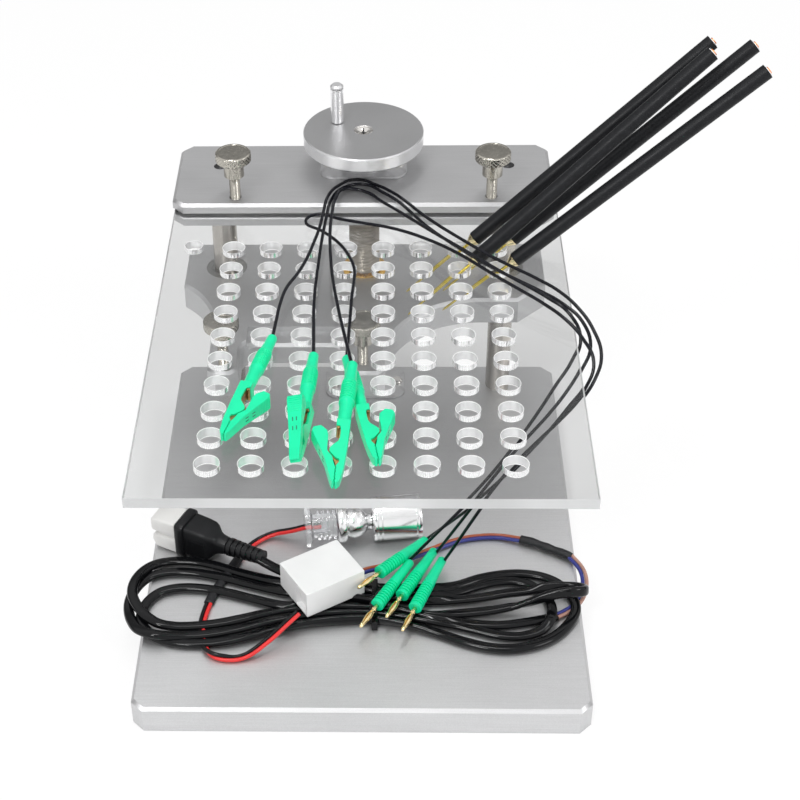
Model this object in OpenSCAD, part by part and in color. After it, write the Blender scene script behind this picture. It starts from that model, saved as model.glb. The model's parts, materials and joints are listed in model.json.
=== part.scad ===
// Programming frame for control unit boards: a clear hole plate held in front of a two-column tower,
// with a board carrier that a hand wheel and a lead screw raise and lower under it.
// X runs to the right, Y to the back and Z up. The origin is the middle of the base plate's underside.

/* [Base plate] */
// Width of the base plate
base_w = 210; // [200:5:240]
// Depth of the base plate
base_l = 258; // [250:2:300]
// Thickness of the base plate
base_t = 14.5; // [12:0.5:20]
// Chamfer of the base plate's corners
base_chamfer = 5.6; // [3:0.2:9]
// Bevel along the top edges of all thick plates
edge_bevel = 1.5; // [0.5:0.1:2]

/* [Tower] */
// Distance of the column line behind the middle of the base
tower_y = 112; // [104:1:114]
// Diameter of a guide column
column_d = 13; // [11:0.5:15]
// Distance between the two columns
column_pitch = 147; // [140:1:154]
// Length of a column between the base and the top plate
column_len = 137; // [134:1:170]
// Width of the top plate and of the clamp bar
top_w = 190; // [180:2:200]
// Depth of the top plate and of the clamp bar
top_l = 60; // [56:1:66]
// Thickness of the top plate
top_t = 5; // [4:0.5:8]
// Thickness of the clamp bar under the hole plate
clamp_t = 4.5; // [3.5:0.5:6]
// Chamfer of the plate corners
plate_chamfer = 5.5; // [3:0.5:8]

/* [Hole plate] */
// Width of the clear hole plate
mesh_w = 190; // [180:2:200]
// Depth of the clear hole plate
mesh_l = 238; // [236:2:260]
// Thickness of the clear hole plate
mesh_t = 5; // [4:0.5:6]
// Diameter of a probe hole
hole_d = 11; // [10:0.25:12]
// Distance between two probe holes
hole_pitch = 18; // [17:0.25:18.5]
// Probe holes across
hole_cols = 8; // [6:1:9]
// Probe holes front to back
hole_rows = 10; // [8:1:10]

/* [Board carrier] */
// Width of the carrier
lift_w = 190; // [182:2:196]
// Thickness of the carrier
lift_t = 14.5; // [12:0.5:16]
// Height of the carrier's underside as the frame stands
lift_z = 78; // [66:1:88]
// Reach of the two arms in front of the column line
arm_reach = 94; // [88:1:100]
// Width of the left arm
left_arm_w = 15.5; // [14:0.5:18]
// Width of the right arm
right_arm_w = 19; // [17:0.5:22]
// Distance of the ledge's front edge from the column line
bridge_front = 66.5; // [62:0.5:72]
// Depth of the ledge below the carrier's top
ledge_depth = 3; // [1.5:0.5:5]
// Radius of the two sweeps between the arms and the sides
sweep_r = 50; // [46:1:52]
// Outer diameter of a column bearing
bearing_od = 21.5; // [19:0.5:24]

/* [Screw drive] */
// Thread diameter of the lead screw
screw_d = 16; // [14:0.5:17]
// Diameter of the lead screw's plain ends
journal_d = 9.6; // [8:0.2:10.4]
// Height of the boss of a flange bearing
boss_h = 8.5; // [7:0.5:10]
// Diameter of the boss of a flange bearing
boss_d = 23; // [20:0.5:26]
// Diameter of the nut's flange
nut_flange_d = 22.6; // [21:0.2:26]
// Radius of the hand wheel
wheel_r = 30.3; // [26:0.1:34]
// Thickness of the hand wheel's disc
wheel_t = 7.5; // [6:0.5:10]
// Diameter of the crank pin's sleeve
crank_d = 6.6; // [6:0.2:8]
// Height of the crank pin above the wheel
crank_h = 21; // [16:0.5:28]

/* [Thumb screws] */
// Shaft diameter of a thumb screw
thumb_d = 5.4; // [4.4:0.1:6]
// Diameter of a thumb screw's knurled head
thumb_head_d = 17.5; // [15:0.5:20]
// Height of the knurled head
thumb_head_t = 5; // [4:0.5:7]
// Diameter of the collar under the head
thumb_collar_d = 10; // [8:0.5:12]
// Height of the collar under the head
thumb_collar_h = 8.3; // [6:0.1:10]
// Shaft that shows under the collar
thumb_shaft_h = 12.2; // [10:0.1:14]

/* [Probe pens and test leads] */
// Diameter of a probe pen
pen_d = 7.2; // [6.4:0.2:8]
// Length of a probe pen from the plate
pen_len = 148; // [120:1:160]
// Diameter of a probe needle
needle_d = 1.4; // [1:0.1:1.8]
// Length of a needle below the plate's top
needle_reach = 37; // [30:1:42]
// Thickness of a clip
clip_t = 7.5; // [6:0.25:8]
// Largest diameter of a plug's sleeve
boot_d = 6.3; // [5.6:0.1:7]
// Diameter of a plug's pin
pin_d = 2; // [1.6:0.1:2.4]

/* [Lamp, supply and cord] */
// Diameter of the lamp's head
lamp_d = 21; // [18:0.5:24]
// Diameter of the lamp's ball
ball_d = 16; // [14:0.5:17]
// Length of the supply box
supply_l = 32; // [28:0.5:36]
// Width of the supply box
supply_w = 26; // [22:0.5:28]
// Height of the supply box
supply_h = 14.5; // [12:0.5:18]
// Height of the mains plug's flange
plug_h = 20.6; // [18:0.2:24]
// Height of the cord hank
hank_h = 5.4; // [5:0.1:5.6]

/* [Hidden] */
$fn = 64;
run_gap = 0.05; // radial play of a shaft in its bearing or thread
seat_gap = 0.02; // radial play of a pressed or screwed seat
rest_gap = 0.1; // play under a piece that only lies there
free_gap = 0.4; // play between moving neighbours
column_r = column_d / 2;
column_x = column_pitch / 2;
top_z = base_t + column_len;
mesh_z = top_z - mesh_t;
clamp_z = mesh_z - clamp_t;
top_y = tower_y - 8;
mesh_x = 1;
mesh_back = tower_y - 15;
mesh_y = mesh_back - mesh_l / 2;
last_row_y = mesh_back - 54;
thumb_x = 63.6;
thumb_y = tower_y - 30.4;
side_hole = [mesh_x - 82.5, mesh_back - 51.8];
side_hole_d = 9;
thumb_r = thumb_d / 2;
thumb_play = 0.3;
arm_screw_x = [-69, 0];
arm_screw_y = tower_y - 85;
arm_edge = 8; // from an arm's left face to its thumb screw
fillet_r = 7.5;
lift_back = 23.5;
shoulder = 31; // from the column line to the right shoulder's front
left_sweep_y = -55;
journal_r = journal_d / 2;
bearing_flange = [44, 28];
bearing_flange_t = 1.5;
bearing_screw_x = 17.5;
screw_r = screw_d / 2;
screw_foot_z = base_t + boss_h + free_gap;
hub_z = top_z + top_t + boss_h + 0.3;
hub_h = 4.2;
wheel_z = hub_z + hub_h;
wheel_top = wheel_z + wheel_t;
crank_place = [-13.3, tower_y + 9];
crank_post_r = crank_d / 2 - 1.1;
column_screw_r = 3.15;
base_screw_r = 3;
base_screw_bite = 11;
pen_r = pen_d / 2;
pen_lean_x = 3.3; // a pen leans on its hole's right rim
pen_holes = [[6, 0], [6, 1], [7, 0], [7, 1]];
pen_turn = [16.4, 18.1, 15.7, 14.3];
pen_rise = [37.6, 38.5, 36.9, 35.6];
nose_start = 2.2;
nose_end = 6.5;
nose_r = 1.3;
needle_r = needle_d / 2;
needle_seat = 8; // length of a needle inside its pen
needle_travel = 6;
pen_wall = 0.7; // black skin round the white lining
lining_depth = 12;
socket_depth = 10;
socket_r = 1.9;
socket_bore_r = 1.05;
clip_len = 72;
clip_boot_end = 40;
clip_tip_t = 0.57 * clip_t;
clip_rest = mesh_z + mesh_t + clip_t / 2 + rest_gap;
// Each clip: place of its wire end, height over the plate's clips, turn, rise and roll
clips = [
    [[-39, -37], 0, -103.5, 0, 0],
    [[-20.2, -52], 1.4, -94.2, 0, 125],
    [[-3, -66.5], 7.4, -95, 5.4, 176],
    [[-5.8, -52.3], 0, -79, 0, 0]
];
// Each plug: the wire end and the pin end of its sleeve
plugs = [
    [[31, -25.6, 24], [8.2, -53, 27.6]],
    [[23.3, -41.7, 24], [7, -71.7, 24]],
    [[35.2, -33.4, 24], [18.8, -65.1, 24]],
    [[39, -39.7, 24], [25, -73.4, 24]]
];
pin_len = 16;
lamp_r = lamp_d / 2;
lamp_place = [-29, -17.6, base_t + lamp_r + 0.3];
lamp_turn = 8;
ball_at = 24.5;
head_at = 33.4;
head_end = 58;
plug_place = [-90, -20.5, base_t + plug_h / 2 + rest_gap];
plug_turn = -25;
plug_flange_w = 17;
plug_flange_t = 5;
plug_body_end = 26;
plug_end = 46;
hank_z = base_t + rest_gap;
supply_place = [-19.2, -56.4, hank_z + hank_h + rest_gap];
supply_turn = 32;
tie_x = 6;
tie_w = 3;
tie_t = 0.8;
tie_y = [-79, -49];
splice_ends = [[80, -18, 17.1], [102, -29.2, 17.1]];
splice_r = 2.4;
test_lead_r = 0.8;
wire_r = 1.25;
cord_r = 1.7;
cord_flat = 1.6;
pair_flat = 1.9;

// Outline of the tied hank, counterclockwise from its waist, and its two open loops
hank_outline = [
    [2, -77], [13, -80], [32, -87], [54, -95], [69, -96], [84, -91], [94, -81], [103, -68],
    [107, -57], [106, -50], [97, -48], [87, -42], [72, -41], [53, -44], [37, -50], [23, -54],
    [10, -52], [2, -50], [-15, -44], [-36, -40], [-52, -36], [-76, -36], [-94, -35], [-106, -37],
    [-113, -44], [-115, -57], [-115, -67], [-112, -77], [-104, -85], [-94, -90], [-75, -93],
    [-67, -89], [-46, -83], [-25, -80]
];
left_loop = [
    [-104, -66], [-99, -72], [-87, -75], [-76, -75], [-62, -73], [-38, -66], [-56, -59], [-75, -56],
    [-93, -52], [-101, -57]
];
right_loop = [[30, -71], [48, -73], [64, -73], [82, -70], [88, -64], [80, -63], [63, -66], [47, -69]];

// Routes of the cords, chosen by eye, from the piece that each one leaves to the piece that it meets
mains_lead_route = [[-51, -38.5, 25], [-46, -41.5, 24], [-40, -45, 21.4], [-34, -49, 18.4], [-28, -53, 17]];
lamp_lead_route = [
    [-27, -17, 25.3], [-36, -15, 20.5], [-46, -14, 17], [-56, -21, 15.9], [-67, -43, 15.9], [-74, -62, 15.9],
    [-76, -82, 15.9], [-70, -97, 15.9], [-56, -98, 15.9], [-44, -91, 20], [-36, -84, 23.5], [-30, -78.6, 26]
];
driver_pair_route = [
    [-4, -52, 25], [2, -47, 23.5], [13, -40, 20.5], [33, -25.5, 16.6], [49, -16.5, 15.9], [66, -14, 15.9],
    [80, -18, 17.1]
];
hank_pair_route = [[102, -29.2, 17.1], [107.5, -37.5, 17.6], [109.5, -48, 18.6], [108, -60, 20.6],
    [103, -68.5, 21.4], [96, -74, 18.5]];
test_lead_routes = [
    [
        [-39.2, -38, 155.4], [-35.2, -2, 156.5], [-27.5, 18, 157.4], [-20.5, 51, 158.4], [-16.4, 78, 160.4],
        [-4.5, 95.2, 158.2], [13.5, 81, 159.8], [32.5, 50, 162.4], [58, 17.5, 164], [95.5, -15, 159],
        [106.5, -41, 148], [98, -57, 138], [66, -60, 95], [39.6, -41, 24]
    ],
    [
        [-20.3, -53, 156.6], [-21.4, -10, 156.6], [-20.4, 22, 156], [-18.4, 54, 156.6], [-14, 80, 158.6],
        [-3.4, 91.5, 158.2], [14.4, 77, 158.6], [32.5, 46, 159.8], [57, 14, 161], [95, -19, 157],
        [102.5, -32, 150], [92, -50, 135], [67, -58, 102], [36, -35, 24]
    ],
    [
        [-3.1, -67.5, 162.4], [-10.2, -20, 159.6], [-14.2, 16, 158.6], [-15.2, 51, 160.8],
        [-11.6, 78.6, 160.6], [-4.5, 87.4, 158.2], [9.6, 73, 158.6], [32.5, 40, 162.6], [58, 10, 163.4],
        [95.4, -23, 155.6], [98.2, -30, 147], [86, -44, 130], [62, -53, 92], [22.8, -40.5, 24]
    ],
    [
        [-5.9, -53.3, 155.4], [-4.4, -3, 154.2], [-4, 24, 153.4], [-13, 47, 153], [-30, 68, 153],
        [-26, 70.5, 153.2], [-7, 62, 154.6], [17, 50, 157], [40, 30, 159.4], [60, 7, 160],
        [94.5, -28, 155], [103.2, -44, 144.2], [91, -54, 125.8], [62.6, -50, 80], [31.6, -25, 24]
    ]
];

// Shared shapes

// Rectangle with chamfered corners, counterclockwise
function chamfered(w, l, c) = [
    [w / 2 - c, l / 2], [c - w / 2, l / 2], [-w / 2, l / 2 - c], [-w / 2, c - l / 2],
    [c - w / 2, -l / 2], [w / 2 - c, -l / 2], [w / 2, c - l / 2], [w / 2, l / 2 - c]
];

// Wedge that bevels the top edge from a to b, with the material on the left of that line
module edge_cut(a, b, top, bevel, past = 3) {
    run = b - a;
    translate([a.x, a.y, top])
    rotate(atan2(run.y, run.x))
    translate([-past, 0, 0])
    rotate([90, 0, 90])
    linear_extrude(norm(run) + 2 * past)
    polygon([[bevel + 1, 1], [-1, 1], [-1, -bevel - 1]]);
}

// Cone that bevels the top edge of an inward curve
module curve_cut(r, top, bevel) {
    translate([0, 0, top - bevel - 1])
    cylinder(h = bevel + 2, r1 = r - 1, r2 = r + bevel + 1, $fn = 128);
}

// Flat plate with chamfered corners and bevelled top edges
module bevelled_plate(w, l, t, c, bevel) {
    outline = chamfered(w, l, c);
    difference() {
        linear_extrude(t) polygon(outline);
        for (i = [0 : len(outline) - 1])
            edge_cut(outline[i], outline[(i + 1) % len(outline)], t, bevel);
    }
}

module at_columns() {
    for (side = [-1, 1])
        translate([side * column_x, tower_y, 0]) children();
}

module at_thumb_screws() {
    for (side = [-1, 1])
        translate([side * thumb_x, thumb_y, 0]) children();
}

function hole_place(col, row) = [
    mesh_x + (col - (hole_cols - 1) / 2) * hole_pitch,
    last_row_y - row * hole_pitch
];

// Tube along a route: one ring of corners at each point, squeezed to a flat section where flat is over 1
function unit(v) = v / norm(v);
function heading(route, i) =
    unit(route[min(i + 1, len(route) - 1)] - route[max(i - 1, 0)]);
function ring(route, i, r, flat, sides) =
    let (ahead = heading(route, i), side = unit(cross(ahead, [0, 0, 1])), lift = cross(side, ahead))
    [for (k = [0 : sides - 1])
        route[i] + r * flat * cos(360 * k / sides) * side + r * sin(360 * k / sides) * lift];

module tube(route, r, flat = 1, sides = 8) {
    last = len(route) - 1;
    corners = [for (i = [0 : last]) each ring(route, i, r, flat, sides)];
    walls = [for (i = [0 : last - 1], k = [0 : sides - 1])
        let (a = i * sides + k, b = i * sides + (k + 1) % sides)
        each [[a, b, b + sides], [a, b + sides, a + sides]]];
    start_cap = [for (k = [0 : sides - 1]) sides - 1 - k];
    end_cap = [for (k = [0 : sides - 1]) last * sides + k];
    polyhedron(points = corners, faces = concat(walls, [start_cap, end_cap]));
}

// Closed smooth outline through its points
function spline_point(p0, p1, p2, p3, t) =
    0.5 * (2 * p1 + (p2 - p0) * t + (2 * p0 - 5 * p1 + 4 * p2 - p3) * pow(t, 2)
    + (3 * p1 - p0 - 3 * p2 + p3) * pow(t, 3));
function smooth(points, steps) =
    let (n = len(points))
    [for (i = [0 : n - 1], k = [0 : steps - 1])
        let (before = points[(i + n - 1) % n], ahead = points[(i + 1) % n], after = points[(i + 2) % n])
        spline_point(before, points[i], ahead, after, k / steps)];

// Base and tower

module base_plate() {
    color("silver")
    difference() {
        bevelled_plate(base_w, base_l, base_t, base_chamfer, edge_bevel);
        at_columns() {
            translate([0, 0, -1]) cylinder(h = base_t + 2, r = base_screw_r + 0.2);
            translate([0, 0, -1]) cylinder(h = 6.4, r = 5);
        }
        for (side = [-1, 1])
            translate([side * bearing_screw_x, tower_y, base_t - 7]) cylinder(h = 8, r = 1.6 + run_gap);
    }
}

// Cap screws from below, sunk in the base, that hold the columns
module base_screws() {
    color("dimgray")
    at_columns() {
        difference() {
            translate([0, 0, 1]) cylinder(h = 4.4, r = 4.5);
            translate([0, 0, 0]) cylinder(h = 3.4, r = 2.3, $fn = 6);
        }
        translate([0, 0, 5.4]) cylinder(h = base_t - 5.4 + base_screw_bite, r = base_screw_r);
    }
}

module guide_columns() {
    color("silver")
    at_columns()
    difference() {
        translate([0, 0, base_t]) cylinder(h = column_len, r = column_r);
        translate([0, 0, base_t - 1]) cylinder(h = base_screw_bite + 2, r = base_screw_r + run_gap);
        translate([0, 0, top_z - 9]) cylinder(h = 10, r = 2 + run_gap);
    }
}

module clamp_bar() {
    color("silver")
    translate([0, 0, clamp_z])
    difference() {
        translate([0, top_y, 0]) bevelled_plate(top_w, top_l, clamp_t, plate_chamfer, 0.6);
        at_columns() translate([0, 0, -1]) cylinder(h = clamp_t + 2, r = column_r + 0.1);
        translate([0, tower_y, -1]) cylinder(h = clamp_t + 2, r = screw_r + 1);
        at_thumb_screws() translate([0, 0, -1]) cylinder(h = clamp_t + 2, r = thumb_r + run_gap);
    }
}

module top_plate() {
    color("silver")
    difference() {
        translate([0, top_y, top_z]) bevelled_plate(top_w, top_l, top_t, plate_chamfer, edge_bevel);
        at_columns() translate([0, 0, top_z - 1]) cylinder(h = top_t + 2, r = column_screw_r + 0.1);
        translate([0, tower_y, top_z - 1]) cylinder(h = top_t + 2, r = journal_r + 1.2);
        at_thumb_screws() translate([0, 0, top_z - 1]) cylinder(h = top_t + 2, r = thumb_r + thumb_play);
        for (side = [-1, 1])
            translate([side * bearing_screw_x, tower_y, top_z + 1]) cylinder(h = top_t, r = 1.6 + run_gap);
    }
}

// Round-headed screws flush in the top plate, each in the end of its column
module column_screws() {
    color("silver")
    at_columns() {
        translate([0, 0, top_z - 8]) cylinder(h = 8, r = 2);
        translate([0, 0, top_z]) cylinder(h = top_t, r = column_screw_r);
        translate([0, 0, top_z + top_t]) cylinder(h = 0.7, r1 = column_screw_r, r2 = 1.9);
    }
}

// Flange bearing for a plain end of the lead screw
module flange_bearing() {
    corner = 7;
    spread = [bearing_flange.x / 2 - corner, bearing_flange.y / 2 - corner];
    difference() {
        union() {
            for (sx = [-1, 1], sy = [-1, 1])
                translate([sx * spread.x, sy * spread.y, 0]) cylinder(h = bearing_flange_t, r = corner);
            translate([-spread.x, -bearing_flange.y / 2, 0])
                cube([2 * spread.x, bearing_flange.y, bearing_flange_t]);
            translate([-bearing_flange.x / 2, -spread.y, 0])
                cube([bearing_flange.x, 2 * spread.y, bearing_flange_t]);
            cylinder(h = boss_h - 1, r = boss_d / 2);
            translate([0, 0, boss_h - 1]) cylinder(h = 1, r1 = boss_d / 2, r2 = boss_d / 2 - 1);
        }
        translate([0, 0, -1]) cylinder(h = boss_h + 2, r = journal_r + run_gap);
        for (side = [-1, 1])
            translate([side * bearing_screw_x, 0, -1]) cylinder(h = bearing_flange_t + 2, r = 1.8);
    }
}

module base_bearing() {
    color("gainsboro") translate([0, tower_y, base_t]) flange_bearing();
}

module top_bearing() {
    color("gainsboro") translate([0, tower_y, top_z + top_t]) flange_bearing();
}

// Pan-head screws of both flange bearings
module bearing_screw(depth) {
    translate([0, 0, -depth]) cylinder(h = depth + bearing_flange_t, r = 1.6);
    translate([0, 0, bearing_flange_t]) cylinder(h = 1.2, r = 3.2);
    translate([0, 0, bearing_flange_t + 1.2]) cylinder(h = 0.8, r1 = 3.2, r2 = 2.2);
}

module bearing_screws() {
    color("silver")
    for (side = [-1, 1]) {
        translate([side * bearing_screw_x, tower_y, base_t]) bearing_screw(6);
        translate([side * bearing_screw_x, tower_y, top_z + top_t]) bearing_screw(3);
    }
}

module hole_plate() {
    color("aliceblue", 0.5)
    difference() {
        translate([mesh_x - mesh_w / 2, mesh_y - mesh_l / 2, mesh_z]) cube([mesh_w, mesh_l, mesh_t]);
        for (col = [0 : hole_cols - 1], row = [0 : hole_rows - 1])
            translate([hole_place(col, row).x, hole_place(col, row).y, mesh_z - 1])
            cylinder(h = mesh_t + 2, r = hole_d / 2);
        translate([side_hole.x, side_hole.y, mesh_z - 1]) cylinder(h = mesh_t + 2, r = side_hole_d / 2);
        at_thumb_screws() translate([0, 0, mesh_z - 1]) cylinder(h = mesh_t + 2, r = thumb_r + thumb_play);
    }
}

// Thumb screw with its knurled head, its collar and a shaft that goes below the seat
module thumb_screw(seat, depth) {
    translate([0, 0, seat - depth]) cylinder(h = depth + thumb_shaft_h, r = thumb_r);
    translate([0, 0, seat + thumb_shaft_h]) cylinder(h = thumb_collar_h, r = thumb_collar_d / 2);
    translate([0, 0, seat + thumb_shaft_h + thumb_collar_h]) {
        cylinder(h = 0.6, r1 = thumb_head_d / 2 - 0.6, r2 = thumb_head_d / 2);
        translate([0, 0, 0.6]) cylinder(h = thumb_head_t - 1.2, r = thumb_head_d / 2);
        translate([0, 0, thumb_head_t - 0.6])
            cylinder(h = 0.6, r1 = thumb_head_d / 2, r2 = thumb_head_d / 2 - 0.6);
    }
}

module top_thumb_screw(side) {
    color("lightgray")
    translate([side * thumb_x, thumb_y, 0])
    thumb_screw(top_z + top_t, top_t + mesh_t + clamp_t + 3);
}

module top_thumb_screw_left() {
    top_thumb_screw(-1);
}

module top_thumb_screw_right() {
    top_thumb_screw(1);
}

// Board carrier

// Outline of the carrier about the middle of the column line, before its inward curves are cut
left_arm = [arm_screw_x[0] - arm_edge, arm_screw_x[0] - arm_edge + left_arm_w];
right_arm = [arm_screw_x[1] - arm_edge, arm_screw_x[1] - arm_edge + right_arm_w];
arm_tip = 4;
lift_outline = [
    [lift_w / 2 - plate_chamfer, lift_back], [plate_chamfer - lift_w / 2, lift_back],
    [-lift_w / 2, lift_back - plate_chamfer], [-lift_w / 2, left_sweep_y],
    [left_arm[0], left_sweep_y], [left_arm[0], arm_tip - arm_reach],
    [left_arm[0] + arm_tip, -arm_reach], [left_arm[1] - arm_tip, -arm_reach],
    [left_arm[1], arm_tip - arm_reach], [left_arm[1], -bridge_front - fillet_r],
    [left_arm[1] + fillet_r, -bridge_front - fillet_r], [left_arm[1] + fillet_r, -bridge_front],
    [right_arm[0] - fillet_r, -bridge_front], [right_arm[0] - fillet_r, -bridge_front - fillet_r],
    [right_arm[0], -bridge_front - fillet_r], [right_arm[0], arm_tip - arm_reach],
    [right_arm[0] + arm_tip, -arm_reach], [right_arm[1] - arm_tip, -arm_reach],
    [right_arm[1], arm_tip - arm_reach], [right_arm[1], -shoulder - sweep_r],
    [right_arm[1] + sweep_r, -shoulder - sweep_r], [right_arm[1] + sweep_r, -shoulder],
    [lift_w / 2 - 15, -shoulder], [lift_w / 2, 15 - shoulder], [lift_w / 2, lift_back - plate_chamfer]
];
// Straight edges of that outline with a bevel: number of the first point, and play at the ends
bevel_edges = [
    [0, 3], [1, 3], [2, 0], [4, 0], [5, 3], [6, 3], [7, 3], [8, 0], [14, 0], [15, 3], [16, 3], [17, 3],
    [18, 0], [21, 0], [22, 3], [23, 3], [24, 3]
];
inner_curves = [
    [left_arm[0] - sweep_r, left_sweep_y, sweep_r], [right_arm[1] + sweep_r, -shoulder - sweep_r, sweep_r],
    [left_arm[1] + fillet_r, -bridge_front - fillet_r, fillet_r],
    [right_arm[0] - fillet_r, -bridge_front - fillet_r, fillet_r]
];
ledge = [left_arm[1] + 2.5, right_arm[0] - 3];
ledge_l = 11.5;

module carrier() {
    lift_top = lift_z + lift_t;
    color("silver")
    translate([0, tower_y, 0])
    difference() {
        translate([0, 0, lift_z]) linear_extrude(lift_t) polygon(lift_outline);
        for (curve = inner_curves)
            translate([curve[0], curve[1], 0]) {
                translate([0, 0, lift_z - 1]) cylinder(h = lift_t + 2, r = curve[2], $fn = 128);
                curve_cut(curve[2], lift_top, edge_bevel);
            }
        for (edge = bevel_edges)
            edge_cut(lift_outline[edge[0]], lift_outline[(edge[0] + 1) % len(lift_outline)], lift_top,
                edge_bevel, edge[1]);
        translate([ledge[0], -bridge_front - 6, lift_top - ledge_depth])
            cube([ledge[1] - ledge[0], ledge_l + 6, ledge_depth + 1]);
        edge_cut([ledge[0], -bridge_front], [ledge[1], -bridge_front], lift_top - ledge_depth, edge_bevel, 0);
        for (side = [-1, 1])
            translate([side * column_x, 0, lift_z - 1])
            cylinder(h = lift_t + 2, r = bearing_od / 2 + seat_gap);
        translate([0, 0, lift_z - 1]) cylinder(h = lift_t + 2, r = screw_r + 2 + seat_gap);
        for (x = arm_screw_x)
            translate([x, arm_screw_y - tower_y, lift_z - 1]) cylinder(h = lift_t + 2, r = thumb_r + run_gap);
    }
}

module column_bearings() {
    color("gray")
    at_columns()
    translate([0, 0, lift_z])
    difference() {
        cylinder(h = lift_t, r = bearing_od / 2);
        translate([0, 0, -1]) cylinder(h = lift_t + 2, r = column_r + run_gap);
        translate([0, 0, lift_t - 0.6]) cylinder(h = 1, r = column_r + 1.2);
    }
}

// Flanged nut on the carrier that the lead screw turns in
module carrier_nut() {
    color("goldenrod")
    translate([0, tower_y, lift_z])
    difference() {
        union() {
            translate([0, 0, -4]) cylinder(h = lift_t + 4, r = screw_r + 2);
            translate([0, 0, lift_t]) cylinder(h = 1.2, r = nut_flange_d / 2);
        }
        translate([0, 0, -5]) cylinder(h = lift_t + 8, r = screw_r + run_gap);
    }
}

module arm_thumb_screw(i) {
    color("lightgray")
    translate([arm_screw_x[i], arm_screw_y, 0])
    thumb_screw(lift_z + lift_t, lift_t - 1);
}

module arm_thumb_screw_left() {
    arm_thumb_screw(0);
}

module arm_thumb_screw_right() {
    arm_thumb_screw(1);
}

// Screw drive

module lead_screw() {
    color("darkkhaki")
    translate([0, tower_y, 0]) {
        translate([0, 0, base_t + 0.3]) cylinder(h = screw_foot_z - base_t, r = journal_r);
        translate([0, 0, screw_foot_z]) cylinder(h = 1, r1 = screw_r - 1, r2 = screw_r);
        translate([0, 0, screw_foot_z + 1]) cylinder(h = top_z - free_gap - screw_foot_z - 2, r = screw_r);
        translate([0, 0, top_z - free_gap - 1]) cylinder(h = 1, r1 = screw_r, r2 = screw_r - 1);
        difference() {
            translate([0, 0, top_z - free_gap]) cylinder(h = wheel_top - top_z, r = journal_r);
            translate([0, 0, wheel_top - 1.7]) cylinder(h = 2, r1 = 0.8, r2 = journal_r - 0.4);
        }
    }
}

module hand_wheel() {
    color("silver")
    translate([0, tower_y, 0])
    difference() {
        union() {
            translate([0, 0, hub_z]) cylinder(h = hub_h, r = 10);
            translate([0, 0, wheel_z]) cylinder(h = 1, r1 = wheel_r - 1, r2 = wheel_r, $fn = 128);
            translate([0, 0, wheel_z + 1]) cylinder(h = wheel_t - 1.6, r = wheel_r, $fn = 128);
            translate([0, 0, wheel_top - 0.6]) cylinder(h = 0.6, r1 = wheel_r, r2 = wheel_r - 0.6, $fn = 128);
        }
        translate([0, 0, hub_z - 1]) cylinder(h = hub_h + wheel_t + 2, r = journal_r + seat_gap);
        translate([crank_place.x, crank_place.y - tower_y, wheel_top - 5])
            cylinder(h = 6, r = crank_post_r + seat_gap);
    }
}

// Fixed post with a head, and the sleeve that turns on it
module crank_post() {
    color("silver")
    translate([crank_place.x, crank_place.y, wheel_top]) {
        translate([0, 0, -5]) cylinder(h = 5 + crank_h - 2, r = crank_post_r);
        translate([0, 0, crank_h - 2]) cylinder(h = 1, r = crank_d / 2);
        translate([0, 0, crank_h - 1]) cylinder(h = 1, r1 = crank_d / 2, r2 = crank_d / 2 - 1);
    }
}

module crank_sleeve() {
    color("silver")
    translate([crank_place.x, crank_place.y, wheel_top + 0.3])
    difference() {
        cylinder(h = crank_h - 2.6, r = crank_d / 2);
        translate([0, 0, -1]) cylinder(h = crank_h, r = crank_post_r + run_gap);
    }
}

// Probe pens

// Frame of a pen: origin where it crosses the hole plate's top, X along it to its far end
module at_pen(i) {
    hole = hole_place(min(pen_holes[i][0], hole_cols - 1), pen_holes[i][1]);
    translate([hole.x + pen_lean_x, hole.y, mesh_z + mesh_t])
    rotate([0, 0, pen_turn[i]])
    rotate([0, -pen_rise[i], 0])
    children();
}

module along(from, to, r) {
    translate([from, 0, 0]) rotate([0, 90, 0]) cylinder(h = to - from, r = r);
}

module cone_along(from, to, r_from, r_to) {
    translate([from, 0, 0]) rotate([0, 90, 0]) cylinder(h = to - from, r1 = r_from, r2 = r_to);
}

module probe_pen(i) {
    color("black")
    at_pen(i)
    difference() {
        union() {
            cone_along(nose_start, nose_end, nose_r, pen_r);
            along(nose_end, pen_len, pen_r);
        }
        along(nose_start - 1, needle_seat + needle_travel, needle_r + run_gap);
        along(pen_len - lining_depth, pen_len + 1, pen_r - pen_wall);
    }
}

// White lining of a pen's far end, open down the middle
module pen_insulators() {
    color("white")
    for (i = [0 : 3])
        at_pen(i)
        difference() {
            along(pen_len - lining_depth, pen_len - 0.2, pen_r - pen_wall - seat_gap);
            along(pen_len - socket_depth, pen_len + 1, socket_r);
        }
}

module pen_sockets() {
    color("darkorange")
    for (i = [0 : 3])
        at_pen(i)
        difference() {
            along(pen_len - socket_depth, pen_len - 0.5, socket_r - seat_gap);
            along(pen_len - socket_depth + 1, pen_len + 1, socket_bore_r);
        }
}

module probe_needle(i) {
    color("gold")
    at_pen(i) {
        cone_along(-needle_reach, -needle_reach + 2.5, 0.15, needle_r);
        along(-needle_reach + 2.5, needle_seat, needle_r);
    }
}

// Clips

// Frame of a clip: origin at its wire end, X along it to the jaw's tip, Y towards the lever
module at_clip(i) {
    clip = clips[i];
    translate([clip[0].x, clip[0].y, clip_rest + clip[1]])
    rotate([0, 0, clip[2]])
    rotate([0, clip[3], 0])
    rotate([clip[4], 0, 0])
    children();
}

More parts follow.
